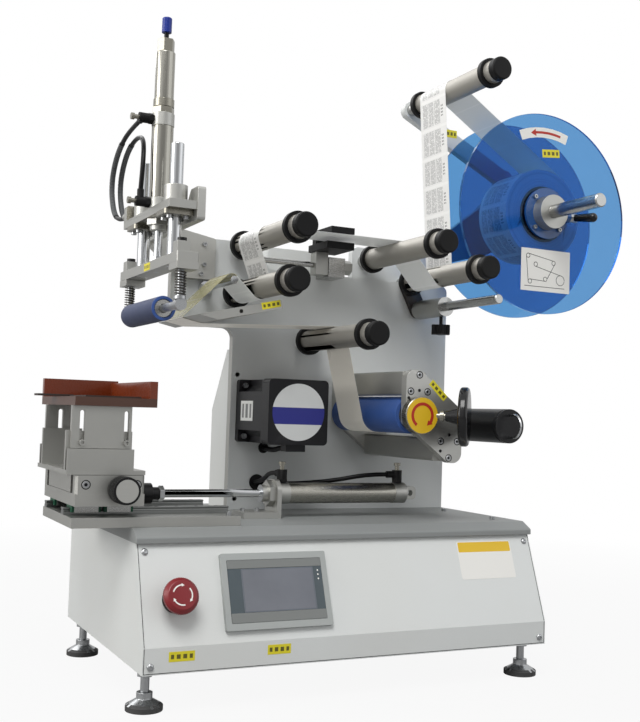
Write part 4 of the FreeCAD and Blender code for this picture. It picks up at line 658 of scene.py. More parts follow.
# air hoses and the motor cable: the same points as in the part
cordSize = {"hose": 6.0, "cable": 7.0}
cordRoutes = {
    "press_hose_top": ((16, 152, 691), (17, 196, 690), (20, 248, 684), (24, 294, 668), (27, 320, 640),
                       (29.5, 312, 602), (30.5, 282, 586), (30.5, 252, 586)),
    "press_hose_bottom": ((16, 137, 602), (17, 134, 634), (22, 152, 668), (29, 200, 684), (32, 250, 682),
                          (36, 294, 667), (39, 320, 640), (41, 312, 602), (42, 282, 586), (42, 252, 586)),
    "table_hose_near": ((225, 166.5, 254), (225, 190, 254), (229, 222, 240), (229, 251.6, 236)),
    "table_hose_far": ((382.5, 150, 254), (352, 150, 254), (310, 168, 244), (268, 196, 238), (241, 226, 236),
                       (238, 251.6, 236)),
    "motor_cable": ((241.5, 162, 287.4), (241.5, 190, 287.4), (241.5, 222, 281), (241.5, 251.6, 284)),
}


def routeCurve(name, thickness):
    data = bpy.data.curves.new(name, "CURVE")
    data.dimensions = "3D"
    line = data.splines.new("NURBS")
    route = cordRoutes[name]
    line.points.add(len(route) - 1)
    for point, place in zip(line.points, route):
        point.co = tuple(at(*place)) + (1.0,)
    line.order_u = 3
    line.use_endpoint_u = True
    line.resolution_u = 12
    data.bevel_depth = thickness / 2000
    data.bevel_resolution = 5
    data.use_fill_caps = True
    return data


def routePoints(name):
    # the smooth line of a cord, as points
    data = routeCurve(name, 0.0)
    data.use_fill_caps = False
    line = newItem(name + "Line", data)
    mesh = bpy.data.meshes.new_from_object(line.evaluated_get(bpy.context.evaluated_depsgraph_get()))
    points = [v.co.copy() for v in mesh.vertices]
    bpy.data.objects.remove(line)
    bpy.data.meshes.remove(mesh)
    return points


def makeCords():
    for name, route in cordRoutes.items():
        size = cordSize["cable"] if name == "motor_cable" else cordSize["hose"]
        data = routeCurve(name, size)
        data.materials.append(finish["hose"])
        hose = newItem(name + "Line", data)
        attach(hose, "frame")
        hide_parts(name)


makeCords()
print("stage: camera and cords made")


pressMiddle = 137.0          # y of the press unit's middle
dancerPivot = (486, 495)     # x and z of the tension arm's pivot
button = (40, 51)            # x and height on the panel of the stop button


def roundY(x, z, low, high):
    # test for the faces whose outer radius round an axis along Y lies in a band
    return lambda c, n, lo, hi, r: low <= r(x, z) <= high


def dressCabinet():
    dress("cabinet_shell", "white", radius=0.9)
    dress("cabinet_lid", "grey", radius=0.7)
    dress("levelling_feet", "zinc", [("rubber", lambda c, n, lo, hi, r: hi.z - lo.z < 25 and lo.z < 1 and c.z < 9)],
          radius=0.6)
    dress("estop_base", "black", radius=0.3)
    dress("estop_head", "red", radius=1.4, segments=4)
    dress("touch_panel", "bezel", [("slate", lambda c, n, lo, hi, r: hi.x - lo.x < 122)], radius=0.6)
    dress("cabinet_fittings", "white", [("black", lambda c, n, lo, hi, r: lo.x < 300)])
    dress("control_modules", "satin", [("alloy", lambda c, n, lo, hi, r: lo.x < 60),
                                       ("copper", lambda c, n, lo, hi, r: lo.x > 420)], radius=0.5)


def dressFrame():
    dress("main_plate", "plate", [("alloy", lambda c, n, lo, hi, r: abs(n.y) < 0.2)], radius=0.5)
    dress("reel_bracket", "plate", radius=0.5)
    dress("rear_cover", "white", radius=0.8)
    dress("drive_frame", "alloyFace", [("alloy", lambda c, n, lo, hi, r: hi.y - lo.y > 50)], radius=0.5)
    dress("press_bracket", "alloyFace", radius=0.5)
    # the panel's corner screws and the drive plate's come back larger below
    dress("machine_screws", "zinc", radius=0.2,
          drop=lambda c: (c.y < 40 and c.z < 180) or (340 < c.x < 440 and c.y < 46))
    dress("roller_axles", "steel", radius=0.3)


def dressRollers():
    for letter in "abcdef":
        node = "guide_roller_" + letter
        m = middle(node)
        dress(node, "tube", [("black", roundY(m.x, m.z, 15.4, 30)),
                             ("black", lambda c, n, lo, hi, r: hi.y < 45)], radius=0.7, segments=3)
    t = middle("traction_roller")
    dress("traction_roller", "steel",
          [("blueRubber", lambda c, n, lo, hi, r: r(t.x, t.z) > 19.5 and 58 < c.y < 241),
           ("anodBlack", lambda c, n, lo, hi, r: r(t.x, t.z) > 8 and c.y > 268)])
    dress("pinch_roller", "rubber", radius=0.5)
    dress("pinch_axle", "steel", radius=0.3)
    dress("pinch_handle", "nickel", [("gloss", lambda c, n, lo, hi, r: lo.y < 0)], radius=0.3)
    dress("rewind_drum", "anodBlack", [("steel", lambda c, n, lo, hi, r: c.y > 241)], radius=0.6)
    dress("liner_clip", "chrome", radius=0)
    dress("drive_belt", "rubber", radius=0.2)
    dress("motor_shaft", "steel", [("alloy", lambda c, n, lo, hi, r: lo.y > 260)], radius=0.2)
    dress("stepper_motor", "satin", radius=0.6)


def dressReel():
    m = middle("reel_outer_disc")
    dress("reel_inner_disc", "acrylic")
    dress("reel_outer_disc", "acrylic",
          [("zinc", lambda c, n, lo, hi, r: hi.x - lo.x < 10),
           ("alloy", lambda c, n, lo, hi, r: c.y < 137.9 and r(m.x, m.z) < 30.5),
           ("ringBlue", lambda c, n, lo, hi, r: c.y < 141.9 and r(m.x, m.z) < 44)])
    dress("reel_hub", "steel", [("anodBlack", lambda c, n, lo, hi, r: 140 < lo.y < 160 and hi.y < 230),
                                ("alloy", lambda c, n, lo, hi, r: lo.y > 220 and hi.y < 250)], radius=0.5)
    dress("reel_clamp_lever", "gloss", [("zinc", lambda c, n, lo, hi, r: c.y > 119)], radius=0.2)
    dress("label_roll", "rollEdge", [("board", roundY(m.x, m.z, 0, 42.5)),
                                     ("print", lambda c, n, lo, hi, r: abs(n.y) < 0.5)], radius=0.15)


def dressWebParts():
    dress("peel_plate", "alloy", [("chrome", lambda c, n, lo, hi, r: lo.z > 490)])
    dress("label_sensor", "steel",
          [("black", lambda c, n, lo, hi, r: lo.z > 561), ("alloy", lambda c, n, lo, hi, r: hi.x - lo.x < 25),
           ("alloy", lambda c, n, lo, hi, r: c.x > 330 or c.y > 238 or (c.x < 245 and c.y > 236))], radius=0.3)
    dress("dancer_arm", "brown",
          [("steel", lambda c, n, lo, hi, r: hypot(c.x - dancerPivot[0], c.z - dancerPivot[1]) < 7 and c.y < 240),
           ("alloy", lambda c, n, lo, hi, r: hypot(c.x - dancerPivot[0], c.z - dancerPivot[1]) >= 7 and c.y < 238)])
    dress("dancer_knob", "black", radius=0.6)


def dressPress():
    dress("press_bearing_plate", "alloy",
          [("nickel", lambda c, n, lo, hi, r: c.z < 571.5 or (c.z > 588.5 and c.x < 54 and c.y < 240))])
    dress("press_cylinder", "alloy",
          [("barrelUp", lambda c, n, lo, hi, r: lo.z > 592 and hi.z < 684),
           ("barrelUp", lambda c, n, lo, hi, r: 716 < lo.z < 718 and c.z < 779),
           ("knobBlue", lambda c, n, lo, hi, r: lo.z > 770 and c.z > 799),
           ("satin", lambda c, n, lo, hi, r: lo.z > 770),
           ("nickel", lambda c, n, lo, hi, r: 698 < lo.z < 718)])
    dress("press_rods", "chrome", [("zinc", lambda c, n, lo, hi, r: c.z < 521 and abs(c.y - pressMiddle) < 20)])
    dress("crosshead", "alloy", radius=0.5)
    dress("press_yoke", "zinc", [("anodBlack", lambda c, n, lo, hi, r: c.z > 526.2)])
    dress("press_roller", "pressBlue",
          [("steel", lambda c, n, lo, hi, r: hi.y - lo.y < 20),
           ("pressEnd", lambda c, n, lo, hi, r: abs(n.y) > 0.7)], radius=0.8, segments=3)


def dressTable():
    dress("table_base", "alloyLong", [("railSteel", lambda c, n, lo, hi, r: lo.z > 209),
                                      ("alloy", lambda c, n, lo, hi, r: abs(n.z) < 0.5)], radius=0.5)
    dress("table_carriage", "alloy",
          [("green", lambda c, n, lo, hi, r: hi.z < 222 and min(c.x - lo.x, hi.x - c.x) < 2.6),
           ("steel", lambda c, n, lo, hi, r: hi.z < 222),
           ("anodBlack", lambda c, n, lo, hi, r: lo.z > 235 and hi.z < 244)], radius=0.5)
    dress("cross_slide", "alloy")
    dress("cross_knob", "anodBlack", [("steel", lambda c, n, lo, hi, r: c.y > 62.5)], radius=0.25)
    dress("fixture", "amber",
          [("alloy", lambda c, n, lo, hi, r: hi.z < 336), ("pad", lambda c, n, lo, hi, r: lo.x < -80),
           ("brownBase", lambda c, n, lo, hi, r: c.z < 342.2)], radius=0.5)
    dress("table_cylinder", "alloy",
          [("barrel", lambda c, n, lo, hi, r: lo.x > 232 and hi.x < 392),
           ("zinc", lambda c, n, lo, hi, r: hi.x < 234 and c.x < 196 and c.z > 212)])
    dress("table_piston_rod", "chrome", [("anodBlack", lambda c, n, lo, hi, r: hi.x < 59)])
    dress("flow_controls", "black", [("nickel", lambda c, n, lo, hi, r: c.z > 260 and hi.z < 300),
                                     ("nickel", lambda c, n, lo, hi, r: c.x < 9 and hi.x < 30)], radius=0.3)


dressCabinet()
dressFrame()
dressRollers()
dressReel()
dressWebParts()
dressPress()
dressTable()
print("stage: CAD nodes dressed")


# the label web: one ribbon from the reel to the rewinder
web = {"front": 149.0, "width": 68.0, "thick": 0.3, "gap": 0.4, "pitch": 42.5, "rollTurn": 320.0, "windings": 3,
       "fade": 1.1, "bare": ("tip", "heel", "f", "traction", "pinch", "drum")}
radii = {"roll": 67.0, "guide": 15.0, "rod": 9.0, "tip": 0.4, "heel": 0.2, "traction": 24.2, "pinch": 14.2,
         "drum": 24.6}
guideRod = (145, 501.5)
peel = {"edge": (80.0, 449.5), "tilt": 13.0, "nose": 24.0, "thick": 11.0}


def peelPoint(along, above):
    a = radians(peel["tilt"])
    return (peel["edge"][0] + along * cos(a) - above * sin(a), peel["edge"][1] + along * sin(a) + above * cos(a))


def webStops():
    # centre, radius, and side of the travel that the web touches: 1 is left, -1 is right
    def stop(name, place, side, kind=None):
        # the last three rollers' radii hold the gap already
        gap = 0.0 if name in ("traction", "pinch", "drum") else web["gap"]
        return place, radii[kind or name] + gap, side, name

    def turned(node):
        return middle(node).x, middle(node).z

    def guide(letter, side):
        return stop(letter, turned("guide_roller_" + letter), side, "guide")

    return [stop("roll", turned("label_roll"), -1), guide("a", -1), guide("e", 1), guide("d", -1), guide("b", -1),
            guide("c", 1), stop("rod", guideRod, -1), stop("tip", peelPoint(0.8, -0.4), -1),
            stop("heel", peelPoint(peel["nose"], -peel["thick"]), -1), guide("f", 1),
            stop("traction", turned("traction_roller"), -1), stop("pinch", turned("pinch_roller"), 1),
            stop("drum", turned("rewind_drum"), 1)]


def tangent(first, second):
    (c0, r0, s0, _), (c1, r1, s1, _) = first, second
    r0, r1 = r0 * s0, r1 * s1
    dx, dz = c1[0] - c0[0], c1[1] - c0[1]
    turn = atan2(dz, dx) + acos(max(-1.0, min(1.0, (r0 - r1) / hypot(dx, dz))))
    n = (cos(turn), sin(turn))
    return (c0[0] + n[0] * r0, c0[1] + n[1] * r0), (c1[0] + n[0] * r1, c1[1] + n[1] * r1)


def webPath():
    # points (x, z) with the name of the stretch that each one starts
    stops = webStops()
    runs = [tangent(a, b) for a, b in zip(stops, stops[1:])]
    path = []
    for i, ((cx, cz), r, side, name) in enumerate(stops):
        leave = atan2(runs[i][0][1] - cz, runs[i][0][0] - cx) if i < len(runs) else None
        meet = atan2(runs[i - 1][1][1] - cz, runs[i - 1][1][0] - cx) if i else None
        if meet is None:
            meet = leave + side * radians(web["rollTurn"])
        fade = 0.0
        if leave is None:
            leave = meet - side * 2 * pi * web["windings"]
            fade = web["fade"]
        sweep = (leave - meet) * -side
        while sweep < 0:
            sweep += 2 * pi
        if fade == 0.0 and i:
            sweep %= 2 * pi
        steps = max(2, ceil(sweep / radians(7)))
        for k in range(steps + 1):
            turn = meet - side * sweep * k / steps
            reach = r - fade * k / steps
            path.append((cx + reach * cos(turn), cz + reach * sin(turn), name))
        if i < len(runs):
            (ax, az), (bx, bz) = runs[i]
            count = max(1, int(hypot(bx - ax, bz - az) / 25))
            for k in range(1, count):
                path.append((ax + (bx - ax) * k / count, az + (bz - az) * k / count, name))
    return path


def makeWeb():
    path = webPath()
    build = Build()
    slots = {"print": 0, "paper": 1, "film": 2, "liner": 3}
    half, u, rows = web["thick"] / 2, 0.0, []
    for i, (x, z, name) in enumerate(path):
        px, pz, _ = path[max(i - 1, 0)]
        qx, qz, _ = path[min(i + 1, len(path) - 1)]
        way = Vector((qx - px, qz - pz)).normalized()
        left = (-way.y, way.x)
        if i:
            u += hypot(x - px, z - pz) / web["pitch"]
        corners = []
        for side, y in ((-1, 0), (-1, 1), (1, 1), (1, 0)):
            place = at(x + left[0] * half * side, web["front"] + web["width"] * y, z + left[1] * half * side)
            corners.append(build.mesh.verts.new(place))
        rows.append((corners, u, name))
    across = (0, 1, 1, 0)
    for (a, ua, name), (b, ub, _) in zip(rows, rows[1:]):
        whole = "film" if name == "rod" else "liner" if name in web["bare"] else None
        for k in range(4):
            j = (k + 1) % 4
            face = build.mesh.faces.new((a[k], a[j], b[j], b[k]))
            face.material_index = slots[whole or ("print" if k == 0 else "paper")]
            places = ((ua, across[k]), (ua, across[j]), (ub, across[j]), (ub, across[k]))
            for loop, place in zip(face.loops, places):
                loop[build.uv].uv = place
    build.mesh.faces.new([rows[0][0][k] for k in (3, 2, 1, 0)])
    build.mesh.faces.new(rows[-1][0])
    build.done("labelRibbon", "frame", ["print", "paper", "film", "liner"], node="label_web", sharp=50)


makeWeb()
print("stage: label web made")


# Geometry Nodes: one tree for each thing that repeats
def newTree(name, *labels):
    # Count is a whole number, Finish a material and every other input a length or a number of turns
    group = bpy.data.node_groups.new(name, "GeometryNodeTree")
    group.interface.new_socket("Geometry", in_out="OUTPUT", socket_type="NodeSocketGeometry")
    group.interface.new_socket("Geometry", in_out="INPUT", socket_type="NodeSocketGeometry")
    for label in labels + ("Finish",):
        kind = {"Count": "NodeSocketInt", "Finish": "NodeSocketMaterial"}.get(label, "NodeSocketFloat")
        group.interface.new_socket(label, in_out="INPUT", socket_type=kind)
    tree = Tree(group)
    return tree, tree.node("NodeGroupInput", output="Geometry")


def closeTree(tree, inputs, shape, turned=True):
    # the shape on each point, turned to the direction stored there, as one mesh with its finish
    sockets = {"Points": inputs, "Instance": shape}
    if turned:
        out = tree.node("GeometryNodeInputNamedAttribute", {"Name": "out"}, data_type="FLOAT_VECTOR")
        sockets["Rotation"] = tree.node("FunctionNodeAlignRotationToVector", {"Vector": out}, axis="Z")
    placed = tree.node("GeometryNodeInstanceOnPoints", sockets)
    real = tree.node("GeometryNodeRealizeInstances", {"Geometry": placed})
    real = tree.node("GeometryNodeSetMaterial", {"Geometry": real, "Material": inputs.out("Finish")})
    tree.node("NodeGroupOutput", {"Geometry": real})
    return tree.nodeTree


def runTree(name, group, points, values, body, finishKey, attribute=None, radius=0.0, nodes=()):
    # points carry the tree; its result becomes a plain mesh on one body
    mesh = bpy.data.meshes.new(name + "Points")
    mesh.from_pydata([tuple(p) for p in points], [], [])
    if attribute:
        store = mesh.attributes.new("out", "FLOAT_VECTOR", "POINT")
        for item, value in zip(store.data, attribute):
            item.vector = value
    carrier = newItem(name + "Points", mesh)
    modifier = carrier.modifiers.new("nodes", "NODES")
    modifier.node_group = group
    for item in group.interface.items_tree:
        if item.item_type == "SOCKET" and item.in_out == "INPUT" and item.name in values:
            modifier[item.identifier] = values[item.name]
    result = bpy.data.meshes.new_from_object(carrier.evaluated_get(bpy.context.evaluated_depsgraph_get()))
    bpy.data.objects.remove(carrier)
    result.name = name
    result.materials.clear()
    made = newObject(name, result, [finishKey])
    soften(made, radius, sharp=35)
    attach(made, body)
    if nodes:
        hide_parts(*nodes)
    return made


def screwTree():
    tree, inputs = newTree("socketScrews", "Head Radius", "Head Height", "Socket Radius")
    radius, height, socket = inputs.out("Head Radius"), inputs.out("Head Height"), inputs.out("Socket Radius")
    head = tree.node("GeometryNodeMeshCylinder", {"Vertices": 24, "Radius": radius, "Depth": height}, "Mesh")
    key = tree.node("GeometryNodeMeshCylinder", {"Vertices": 6, "Radius": socket, "Depth": height}, "Mesh")
    lift = tree.node("ShaderNodeCombineXYZ", {"Z": height * 0.45})
    key = tree.node("GeometryNodeTransform", {"Geometry": key, "Translation": lift})
    cut = tree.node("GeometryNodeMeshBoolean", {"Mesh 1": head, "Mesh 2": key}, operation="DIFFERENCE")
    stand = tree.node("ShaderNodeCombineXYZ", {"Z": height * 0.5})
    cut = tree.node("GeometryNodeTransform", {"Geometry": cut, "Translation": stand})
    return closeTree(tree, inputs, cut)


def ribTree():
    # ribs that stand round a rim; the carrier's one point is the rim's middle
    tree, inputs = newTree("rimRibs", "Count", "Rim Radius", "Rib Radius", "Rib Length")
    rim = tree.node("GeometryNodeMeshCircle", {"Vertices": inputs.out("Count"), "Radius": inputs.out("Rim Radius")})
    rib = tree.node("GeometryNodeMeshCylinder", {"Vertices": 6, "Radius": inputs.out("Rib Radius"),
                                                 "Depth": inputs.out("Rib Length")}, "Mesh")
    ring = tree.node("GeometryNodeInstanceOnPoints", {"Points": rim, "Instance": rib})
    return closeTree(tree, inputs, tree.node("GeometryNodeRealizeInstances", {"Geometry": ring}))


def springTree():
    tree, inputs = newTree("coilSprings", "Turns", "Coil Radius", "Wire Radius", "Length")
    radius = inputs.out("Coil Radius")
    coil = tree.node("GeometryNodeCurveSpiral", {"Resolution": 28, "Rotations": inputs.out("Turns"),
                                                 "Start Radius": radius, "End Radius": radius,
                                                 "Height": inputs.out("Length")})
    wire = tree.node("GeometryNodeCurvePrimitiveCircle", {"Resolution": 8, "Radius": inputs.out("Wire Radius")})
    solid = tree.node("GeometryNodeCurveToMesh", {"Curve": coil, "Profile Curve": wire, "Fill Caps": True})
    return closeTree(tree, inputs, solid, turned=False)


springs = {"turns": 8.5, "coil": 6.0, "wire": 0.85, "low": 463.8, "high": 492.3, "x": 38.0, "ys": (36.0, 243.0),
           "free": 29.4, "squash": 8.0, "seat": 492.7}


def makeSprings():
    points = [at(springs["x"], y, springs["low"] + springs["wire"]) for y in springs["ys"]]
    length = springs["high"] - springs["low"] - 2 * springs["wire"]
    made = runTree("pressSprings", springTree(), points,
                   {"Turns": springs["turns"], "Coil Radius": springs["coil"] / 1000,
                    "Wire Radius": springs["wire"] / 1000, "Length": length / 1000, "Finish": finish["springSteel"]},
                   "press_carriage", "springSteel", nodes=("press_springs",))
    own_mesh(made)


screwKinds = {"m4": (3.5, 4.0, 1.7), "m5": (4.2, 3.0, 2.0), "m6": (5.0, 5.5, 2.6), "dowel": (2.1, 0.4, 1.3)}


def placeScrews(name, kind, spots, out, body, finishKey="zinc"):
    head, height, socket = (v / 1000 for v in screwKinds[kind])
    runTree(name, screws, [at(*s) for s in spots],
            {"Head Radius": head, "Head Height": height, "Socket Radius": socket, "Finish": finish[finishKey]},
            body, finishKey, attribute=[out] * len(spots), radius=0.25)


screws = screwTree()


def makeScrews():
    front, back, up, down, left = (0, -1, 0), (0, 1, 0), (0, 0, 1), (0, 0, -1), (-1, 0, 0)
    placeScrews("bushingScrews", "m4", [(41 + dx, y + dy, 561) for y in (75, 199) for dx in (-10.5, 10.5)
                                        for dy in (-10.5, 10.5)], down, "frame")
    placeScrews("driveDowels", "dowel", [(367, 45.1, 368), (351.5, 45.1, 358), (414, 45.1, 312), (401, 45.1, 291)],
                front, "frame", "anodBlack")
    placeScrews("wingScrews", "m5", [(57.9, 200, 565), (57.9, 90, 565), (57.9, 90, 584)], left, "frame")
    placeScrews("coverScrews", "m4", [(200, 326, 215), (200, 326, 324), (365, 326, 324), (530, 326, 324),
                                      (530, 326, 215), (365, 326, 215)], back, "frame")
    placeScrews("lidScrews", "m4", [(510, y, 198) for y in (80, 200)] + [(60, 230, 198)], up, "frame")


def makeRibs():
    ribs = ribTree()
    runTree("buttonRibs", ribs, [onPanel(*button, 21.5)],
            {"Count": 60, "Rim Radius": 0.0199, "Rib Radius": 0.00055, "Rib Length": 0.0036, "Finish": finish["red"]},
            "estop_button", "red", attribute=[tuple(panelOut)])
    knob = middle("cross_knob")
    runTree("knobRibs", ribs, [at(knob.x, 49, knob.z)],
            {"Count": 72, "Rim Radius": 0.01545, "Rib Radius": 0.00038, "Rib Length": 0.019,
             "Finish": finish["anodBlack"]},
            "cross_screw", "anodBlack", attribute=[(0, 1, 0)])


makeSprings()
makeScrews()
makeRibs()
print("stage: springs, screws and ribs made")


acrossX, acrossY, upward = Vector((1, 0, 0)), Vector((0, 1, 0)), Vector((0, 0, 1))
sheet, ink = 0.16, 0.12      # thickness of a sticker and of what is printed on it
screen = {"x": 163, "face": 5.7, "band": 119.4}


def tilted(degrees):
    # right and up of a thing that faces the front, turned about Y
    a = radians(degrees)
    return Vector((cos(a), 0, sin(a))), Vector((-sin(a), 0, cos(a)))


def makePanelDetails():
    build = Build()
    for up, height in ((86.9, 9.6), (25.8, 11.0)):
        build.slab(onPanel(screen["x"], up, screen["face"]), acrossX, panelUp, screen["band"], height, 0.5, 0.4)
    build.slab(onPanel(165.5, 56.6, screen["face"] + 0.03), acrossX, panelUp, 92, 50, 0.35, 0.8, 1)
    for up in (77, 72, 67):
        build.disc(onPanel(217.5, up, screen["face"] + 0.05), acrossX, panelUp, 1.0, 0.3, 2, 14)
    build.done("panelScreen", "frame", ["bezelDark", "display", "whiteMark"], radius=0.12)

    arrows = Build()
    top = onPanel(*button, 28.05)
    for start in (160, 40, 280):
        arrows.arc(top, acrossX, panelUp, 11.0, 1.5, start, start - 68, 0.18, 0, head=1.9)
    arrows.done("buttonArrows", "estop_button", ["whiteMark"])


def makeStickers():
    # place, tilt, width, height and corner radius: two on the kick, then arm, reel bracket and drive plate
    yellow = Build()
    for place, tilt, width, height, fillet in (((44.5, -0.02, 63.5), 0, 30, 11, 0.5),
                                               ((161.5, -0.02, 63.5), 0, 29, 11, 0.5),
                                               ((175.5, 89.98, 467.6), 13, 26, 8.6, 0.4),
                                               ((546, 265.98, 779), 0, 26, 12, 0.5),
                                               ((395.5, 44.98, 369), -43, 31, 9, 0.5)):
        yellow.slab(at(*place), *tilted(tilt), width, height, sheet, fillet)
    yellow.done("yellowStickers", "frame", ["yellowMark"])

    # dark joints where the front sheet meets the sides and the pan
    seams = Build()
    for x in (1.5, 538.5):
        seams.slab(onPanel(x, 57.7, 0.02), acrossX, panelUp, 0.7, 114, 0.1)
        seams.slab(at(x, -0.02, 60.3), acrossX, upward, 0.7, 27.4, 0.1)
    seams.slab(at(270, -0.02, 46.6), acrossX, upward, 537, 0.7, 0.1)
    seams.done("frontSeams", "frame", ["satin"])

    bar = Build()
    bar.slab(at(27.98, pressMiddle, 507), -acrossY, upward, 24, 9, sheet, 0.5)
    bar.done("crossheadSticker", "press_carriage", ["yellowMark"])

    hub = middle("traction_roller")
    turn = Build()
    turn.disc(at(hub.x, 32.68, hub.z), acrossX, upward, 22.8, sheet, 0, 64)
    turn.arc(at(hub.x, 32.68 - sheet, hub.z), acrossX, upward, 14.6, 4.0, 236, -34, ink, 1, head=4.2)
    turn.done("handleSticker", "pinch_lever", ["yellowPlain", "redMark"])

    motor = Build()
    motor.disc(at(241.5, 139.97, 335), acrossX, upward, 37.5, 0.2, 0, 72)
    motor.slab(at(198.47, 214, 335), -acrossY, upward, 42, 27, sheet, 0.6, 1)
    motor.done("motorStickers", "frame", ["motorRound", "whiteSticker"])


def makeDiscMarks():
    m = middle("reel_outer_disc")
    y = 141.97      # just in front of the outer disc
    over = y - sheet
    build = Build()
    build.arc(at(m.x, y, m.z), acrossX, upward, 122, 15, 113, 72, sheet)
    build.arc(at(m.x, over, m.z), acrossX, upward, 122, 3.6, 78, 99.5, ink, 1, head=5.4)
    build.slab(at(640.5, y, 557.5), acrossX, upward, 90, 63, sheet, 1.0)
    # a plain threading sketch: rollers as rings, the web as lines
    for x, z, r in ((608, 578, 3.2), (622, 566, 3.2), (655, 570, 3.2), (640, 545, 3.2), (612, 540, 3.2),
                    (668, 545, 7.5)):
        build.arc(at(x, over, z), acrossX, upward, r, 0.8, 0, 356, ink, 2)
    lines = (((608, 581.2), (655, 573.2)), ((658.2, 570), (643.2, 545)), ((640, 541.8), (612, 543.2)),
             ((608.8, 540), (604.8, 578)), ((622, 562.8), (668, 552.5)), ((602, 533), (676, 533)))
    for (x0, z0), (x1, z1) in lines:
        way = Vector((x1 - x0, 0, z1 - z0))
        build.slab(at((x0 + x1) / 2, over, (z0 + z1) / 2), way, Vector((-way.z, 0, way.x)), way.length, 0.8, ink,
                   slot=2)
    build.done("discMarks", "outer_disc", ["whiteMark", "redMark", "satin"])
    tag = Build()
    tag.slab(at(646, y, 735), *tilted(6), 32, 12, sheet, 0.5)
    tag.done("discTag", "outer_disc", ["yellowMark"])


spiral = {"radius": 3.35, "pitch": 4.6, "band": 1.9, "thick": 0.35, "press_hose_top": (0.34, 0.84),
          "press_hose_bottom": (0.46, 0.87)}


def makeSpiralWrap():
    build = Build()
    for name in ("press_hose_top", "press_hose_bottom"):
        line = routePoints(name)
        lengths = [0.0]
        for a, b in zip(line, line[1:]):
            lengths.append(lengths[-1] + (b - a).length)
        total = lengths[-1]
        start, end = (share * total for share in spiral[name])
        count = int((end - start) * 1000 / spiral["pitch"] * 14)
        side, rings, k = None, [], 0
        for i in range(count + 1):
            s = start + (end - start) * i / count
            while k < len(line) - 2 and lengths[k + 1] < s:
                k += 1
            share = (s - lengths[k]) / (lengths[k + 1] - lengths[k])
            way = (line[k + 1] - line[k]).normalized()
            point = line[k].lerp(line[k + 1], share)
            side = way.orthogonal() if side is None else side - way * side.dot(way)
            side.normalize()
            turn = 2 * pi * (s - start) * 1000 / spiral["pitch"]
            out = side * cos(turn) + way.cross(side) * sin(turn)
            inner, outer = (spiral["radius"] + d for d in (0, spiral["thick"]))
            rings.append([build.mesh.verts.new(point + (out * r + way * w * spiral["band"]) / 1000)
                          for r, w in ((inner, -1), (outer, -1), (outer, 1), (inner, 1))])
        for a, b in zip(rings, rings[1:]):
            for q in range(4):
                build.mesh.faces.new((a[q], a[(q + 1) % 4], b[(q + 1) % 4], b[q]))
        build.mesh.faces.new(rings[0][::-1])
        build.mesh.faces.new(rings[-1])
    build.done("spiralWrap", "frame", ["wrapGrey"])


def shadeRimmedScrews(name, spots, across, up, head, body, floor=0.9):
    # cap screw heads sunk in their counterbores: a flat dark ring of painted shade round each head for the
    # counterbore's gap, the bright head, and a dark hexagon disc of painted shade in its socket
    build = Build()
    out = across.cross(up)
    for spot in spots:
        place = at(*spot)
        # painted shade: a flat dark ring where the gap round the head lies in shade
        build.arc(place, across, up, head + 0.55, 1.1, 0, 359.9, 0.12, 1)
        build.lathe(((0, 0), (head, 0), (head, 1.6), (head - 0.5, 2.1), (head * 0.58, 2.1), (head * 0.58, floor),
                     (0, floor)), place - out * 0.00185, out, 28)
        # painted shade: a dark hexagon disc on the socket's floor
        build.disc(place + out * (floor - 1.79) / 1000, across, up, head * 0.5, 0.1, 1, 6)
    build.done(name, body, ["zinc", "satin"], sharp=30)


def makeSmallParts():
    # drive plate and table block screws, with painted shade round each head and in each socket
    shadeRimmedScrews("driveScrews", [(x, 45, z) for x, z in ((367, 388), (354.5, 366.5), (379.5, 366.5), (414, 282),
                                                        (426.5, 303.5), (401.5, 303.5))],
                 acrossX, upward, 3.8, "frame")
    shadeRimmedScrews("blockScrews", [(-54, 63, 246), (5, 63, 246)], acrossX, upward, 4.3, "table", floor=1.9)
    # pale turned face of the knurled knob
    knob = middle("cross_knob")
    face = Build()
    face.lathe(((0, 0), (12.6, 0), (12.9, 0.25), (12.9, 0.55), (0, 0.55)), at(knob.x, 35.95, knob.z), -acrossY)
    face.done("knobFace", "cross_screw", ["alloyFace"])
    # domed screws at the corners of the front sheet
    domes = Build()
    dome = ((0, 0), (4.1, 0), (4.1, 0.5), (3.5, 1.6), (2.3, 2.3), (1.7, 2.4), (1.5, 1.3), (0, 1.2))
    for x in (9, 531):
        domes.lathe(dome, onPanel(x, 106, 0), panelOut)
    for x in (9, 531):
        domes.lathe(dome, at(x, 0, 54), -acrossY)
    domes.done("panelScrews", "frame", ["zinc"])
    # counterbores along the rails
    holes = Build()
    for y in (105, 195):
        for x in range(-58, 126, 25):
            holes.disc(at(x, y, 217.5), acrossX, acrossY, 2.5, 0.1, 0, 20)
    holes.done("railHoles", "frame", ["satin"])
    # bare plate at the right of the panel
    plate = Build()
    plate.slab(onPanel(466, 83, 0), acrossX, panelUp, 84, 49, 0.2, 3.0)
    plate.slab(onPanel(466, 100, 0.12), acrossX, panelUp, 81, 13, 0.12, 1.6, 1)
    plate.done("barePlate", "frame", ["whiteMark", "yellowPlain"])


makePanelDetails()
makeSmallParts()
makeStickers()
makeDiscMarks()
makeSpiralWrap()
print("stage: panel, stickers and wraps made")


studio = {"floor": 6.0, "ambient": 0.38, "key": 60.0, "side": 27.0, "fill": 10.0, "rim": 22.0}


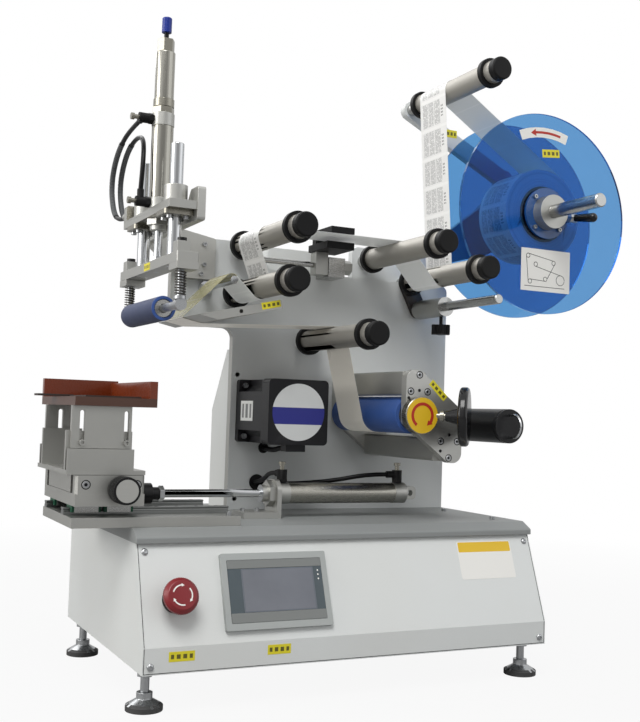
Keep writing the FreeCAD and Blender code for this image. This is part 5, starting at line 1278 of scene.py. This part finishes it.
def makeStage():
    # a pale floor that is white to the camera and keeps the soft shadow
    floor = bpy.data.meshes.new("floor")
    s = studio["floor"]
    floor.from_pydata([(-s, -s, -0.0004), (s, -s, -0.0004), (s, s, -0.0004), (-s, s, -0.0004)], [], [(0, 1, 2, 3)])
    f = Finish("paleFloor")
    path = f.node("ShaderNodeLightPath", output="Is Camera Ray")
    seen = path.larger(path.out("Is Transmission Ray")).larger(path.out("Is Glossy Ray") * 0.14)
    x, y, _ = f.xyz()
    far = ((x * x + y * y) * 0.32).smaller(1.0)
    plain = f.node("ShaderNodeBsdfDiffuse", {"Color": colour("#9c9c9c")})
    glow = f.node("ShaderNodeEmission", {"Color": (1, 1, 1, 1), "Strength": 1.0})
    both = f.node("ShaderNodeMixShader", {0: seen * (far * 0.08 + 0.92), 1: plain, 2: glow})
    f.node("ShaderNodeOutputMaterial", {"Surface": both})
    floor.materials.append(f.material)
    newItem("floor", floor)

    world = bpy.data.worlds.new("studio")
    bpy.context.scene.world = world
    world.use_nodes = True
    world.node_tree.nodes.clear()
    w = Tree(world.node_tree)
    path = w.node("ShaderNodeLightPath", output="Is Camera Ray")
    straight = path.larger(path.out("Is Transmission Ray"))
    glossy = path.out("Is Glossy Ray")
    way = w.node("ShaderNodeSeparateXYZ", {0: w.node("ShaderNodeTexCoord", output="Generated")})
    # mirrors see a grey room: pale overhead, a window at the left, dark in front with a pale wall at its right
    x, y, z = way.out("X"), way.out("Y"), way.out("Z")
    window = (-1 * x).rise(0.45, 0.8)
    dark = (-1 * y).rise(0.2, 0.8)
    wall = (1 - (x - 0.47).size().rise(0.12, 0.36)) * dark
    mirror = 0.5 + z.rise(-0.25, 0.7) * 0.42 + window * 0.38 - dark * 0.3 + wall * 0.36
    strength = straight + (1 - straight) * (glossy * mirror + (1 - glossy) * studio["ambient"])
    back = w.node("ShaderNodeBackground", {"Color": (1, 1, 1, 1), "Strength": strength})
    w.node("ShaderNodeOutputWorld", {"Surface": back})


def makeLamp(name, place, target, size, power, tint=(1, 1, 1)):
    data = bpy.data.lights.new(name, "AREA")
    data.shape = "SQUARE"
    data.size = size
    data.energy = power
    data.color = tint
    lamp = newItem(name, data)
    lamp.location = place
    lamp.rotation_mode = "QUATERNION"
    lamp.rotation_quaternion = (Vector(target) - Vector(place)).to_track_quat("-Z", "Y")


def makeLights():
    target = (0, 0, 0.35)
    makeLamp("key", (-1.15, -1.6, 2.7), target, 1.5, studio["key"], (1.0, 0.995, 0.98))
    makeLamp("side", (-2.6, 0.1, 1.1), target, 1.4, studio["side"], (1.0, 0.98, 0.94))
    makeLamp("fill", (2.2, -1.8, 1.3), target, 2.2, studio["fill"], (0.97, 0.985, 1.0))
    makeLamp("rim", (-0.6, 2.2, 2.4), target, 1.8, studio["rim"])
    scene = bpy.context.scene
    scene.view_settings.view_transform = "Standard"


makeStage()
makeLights()
print("stage: floor and lights made")
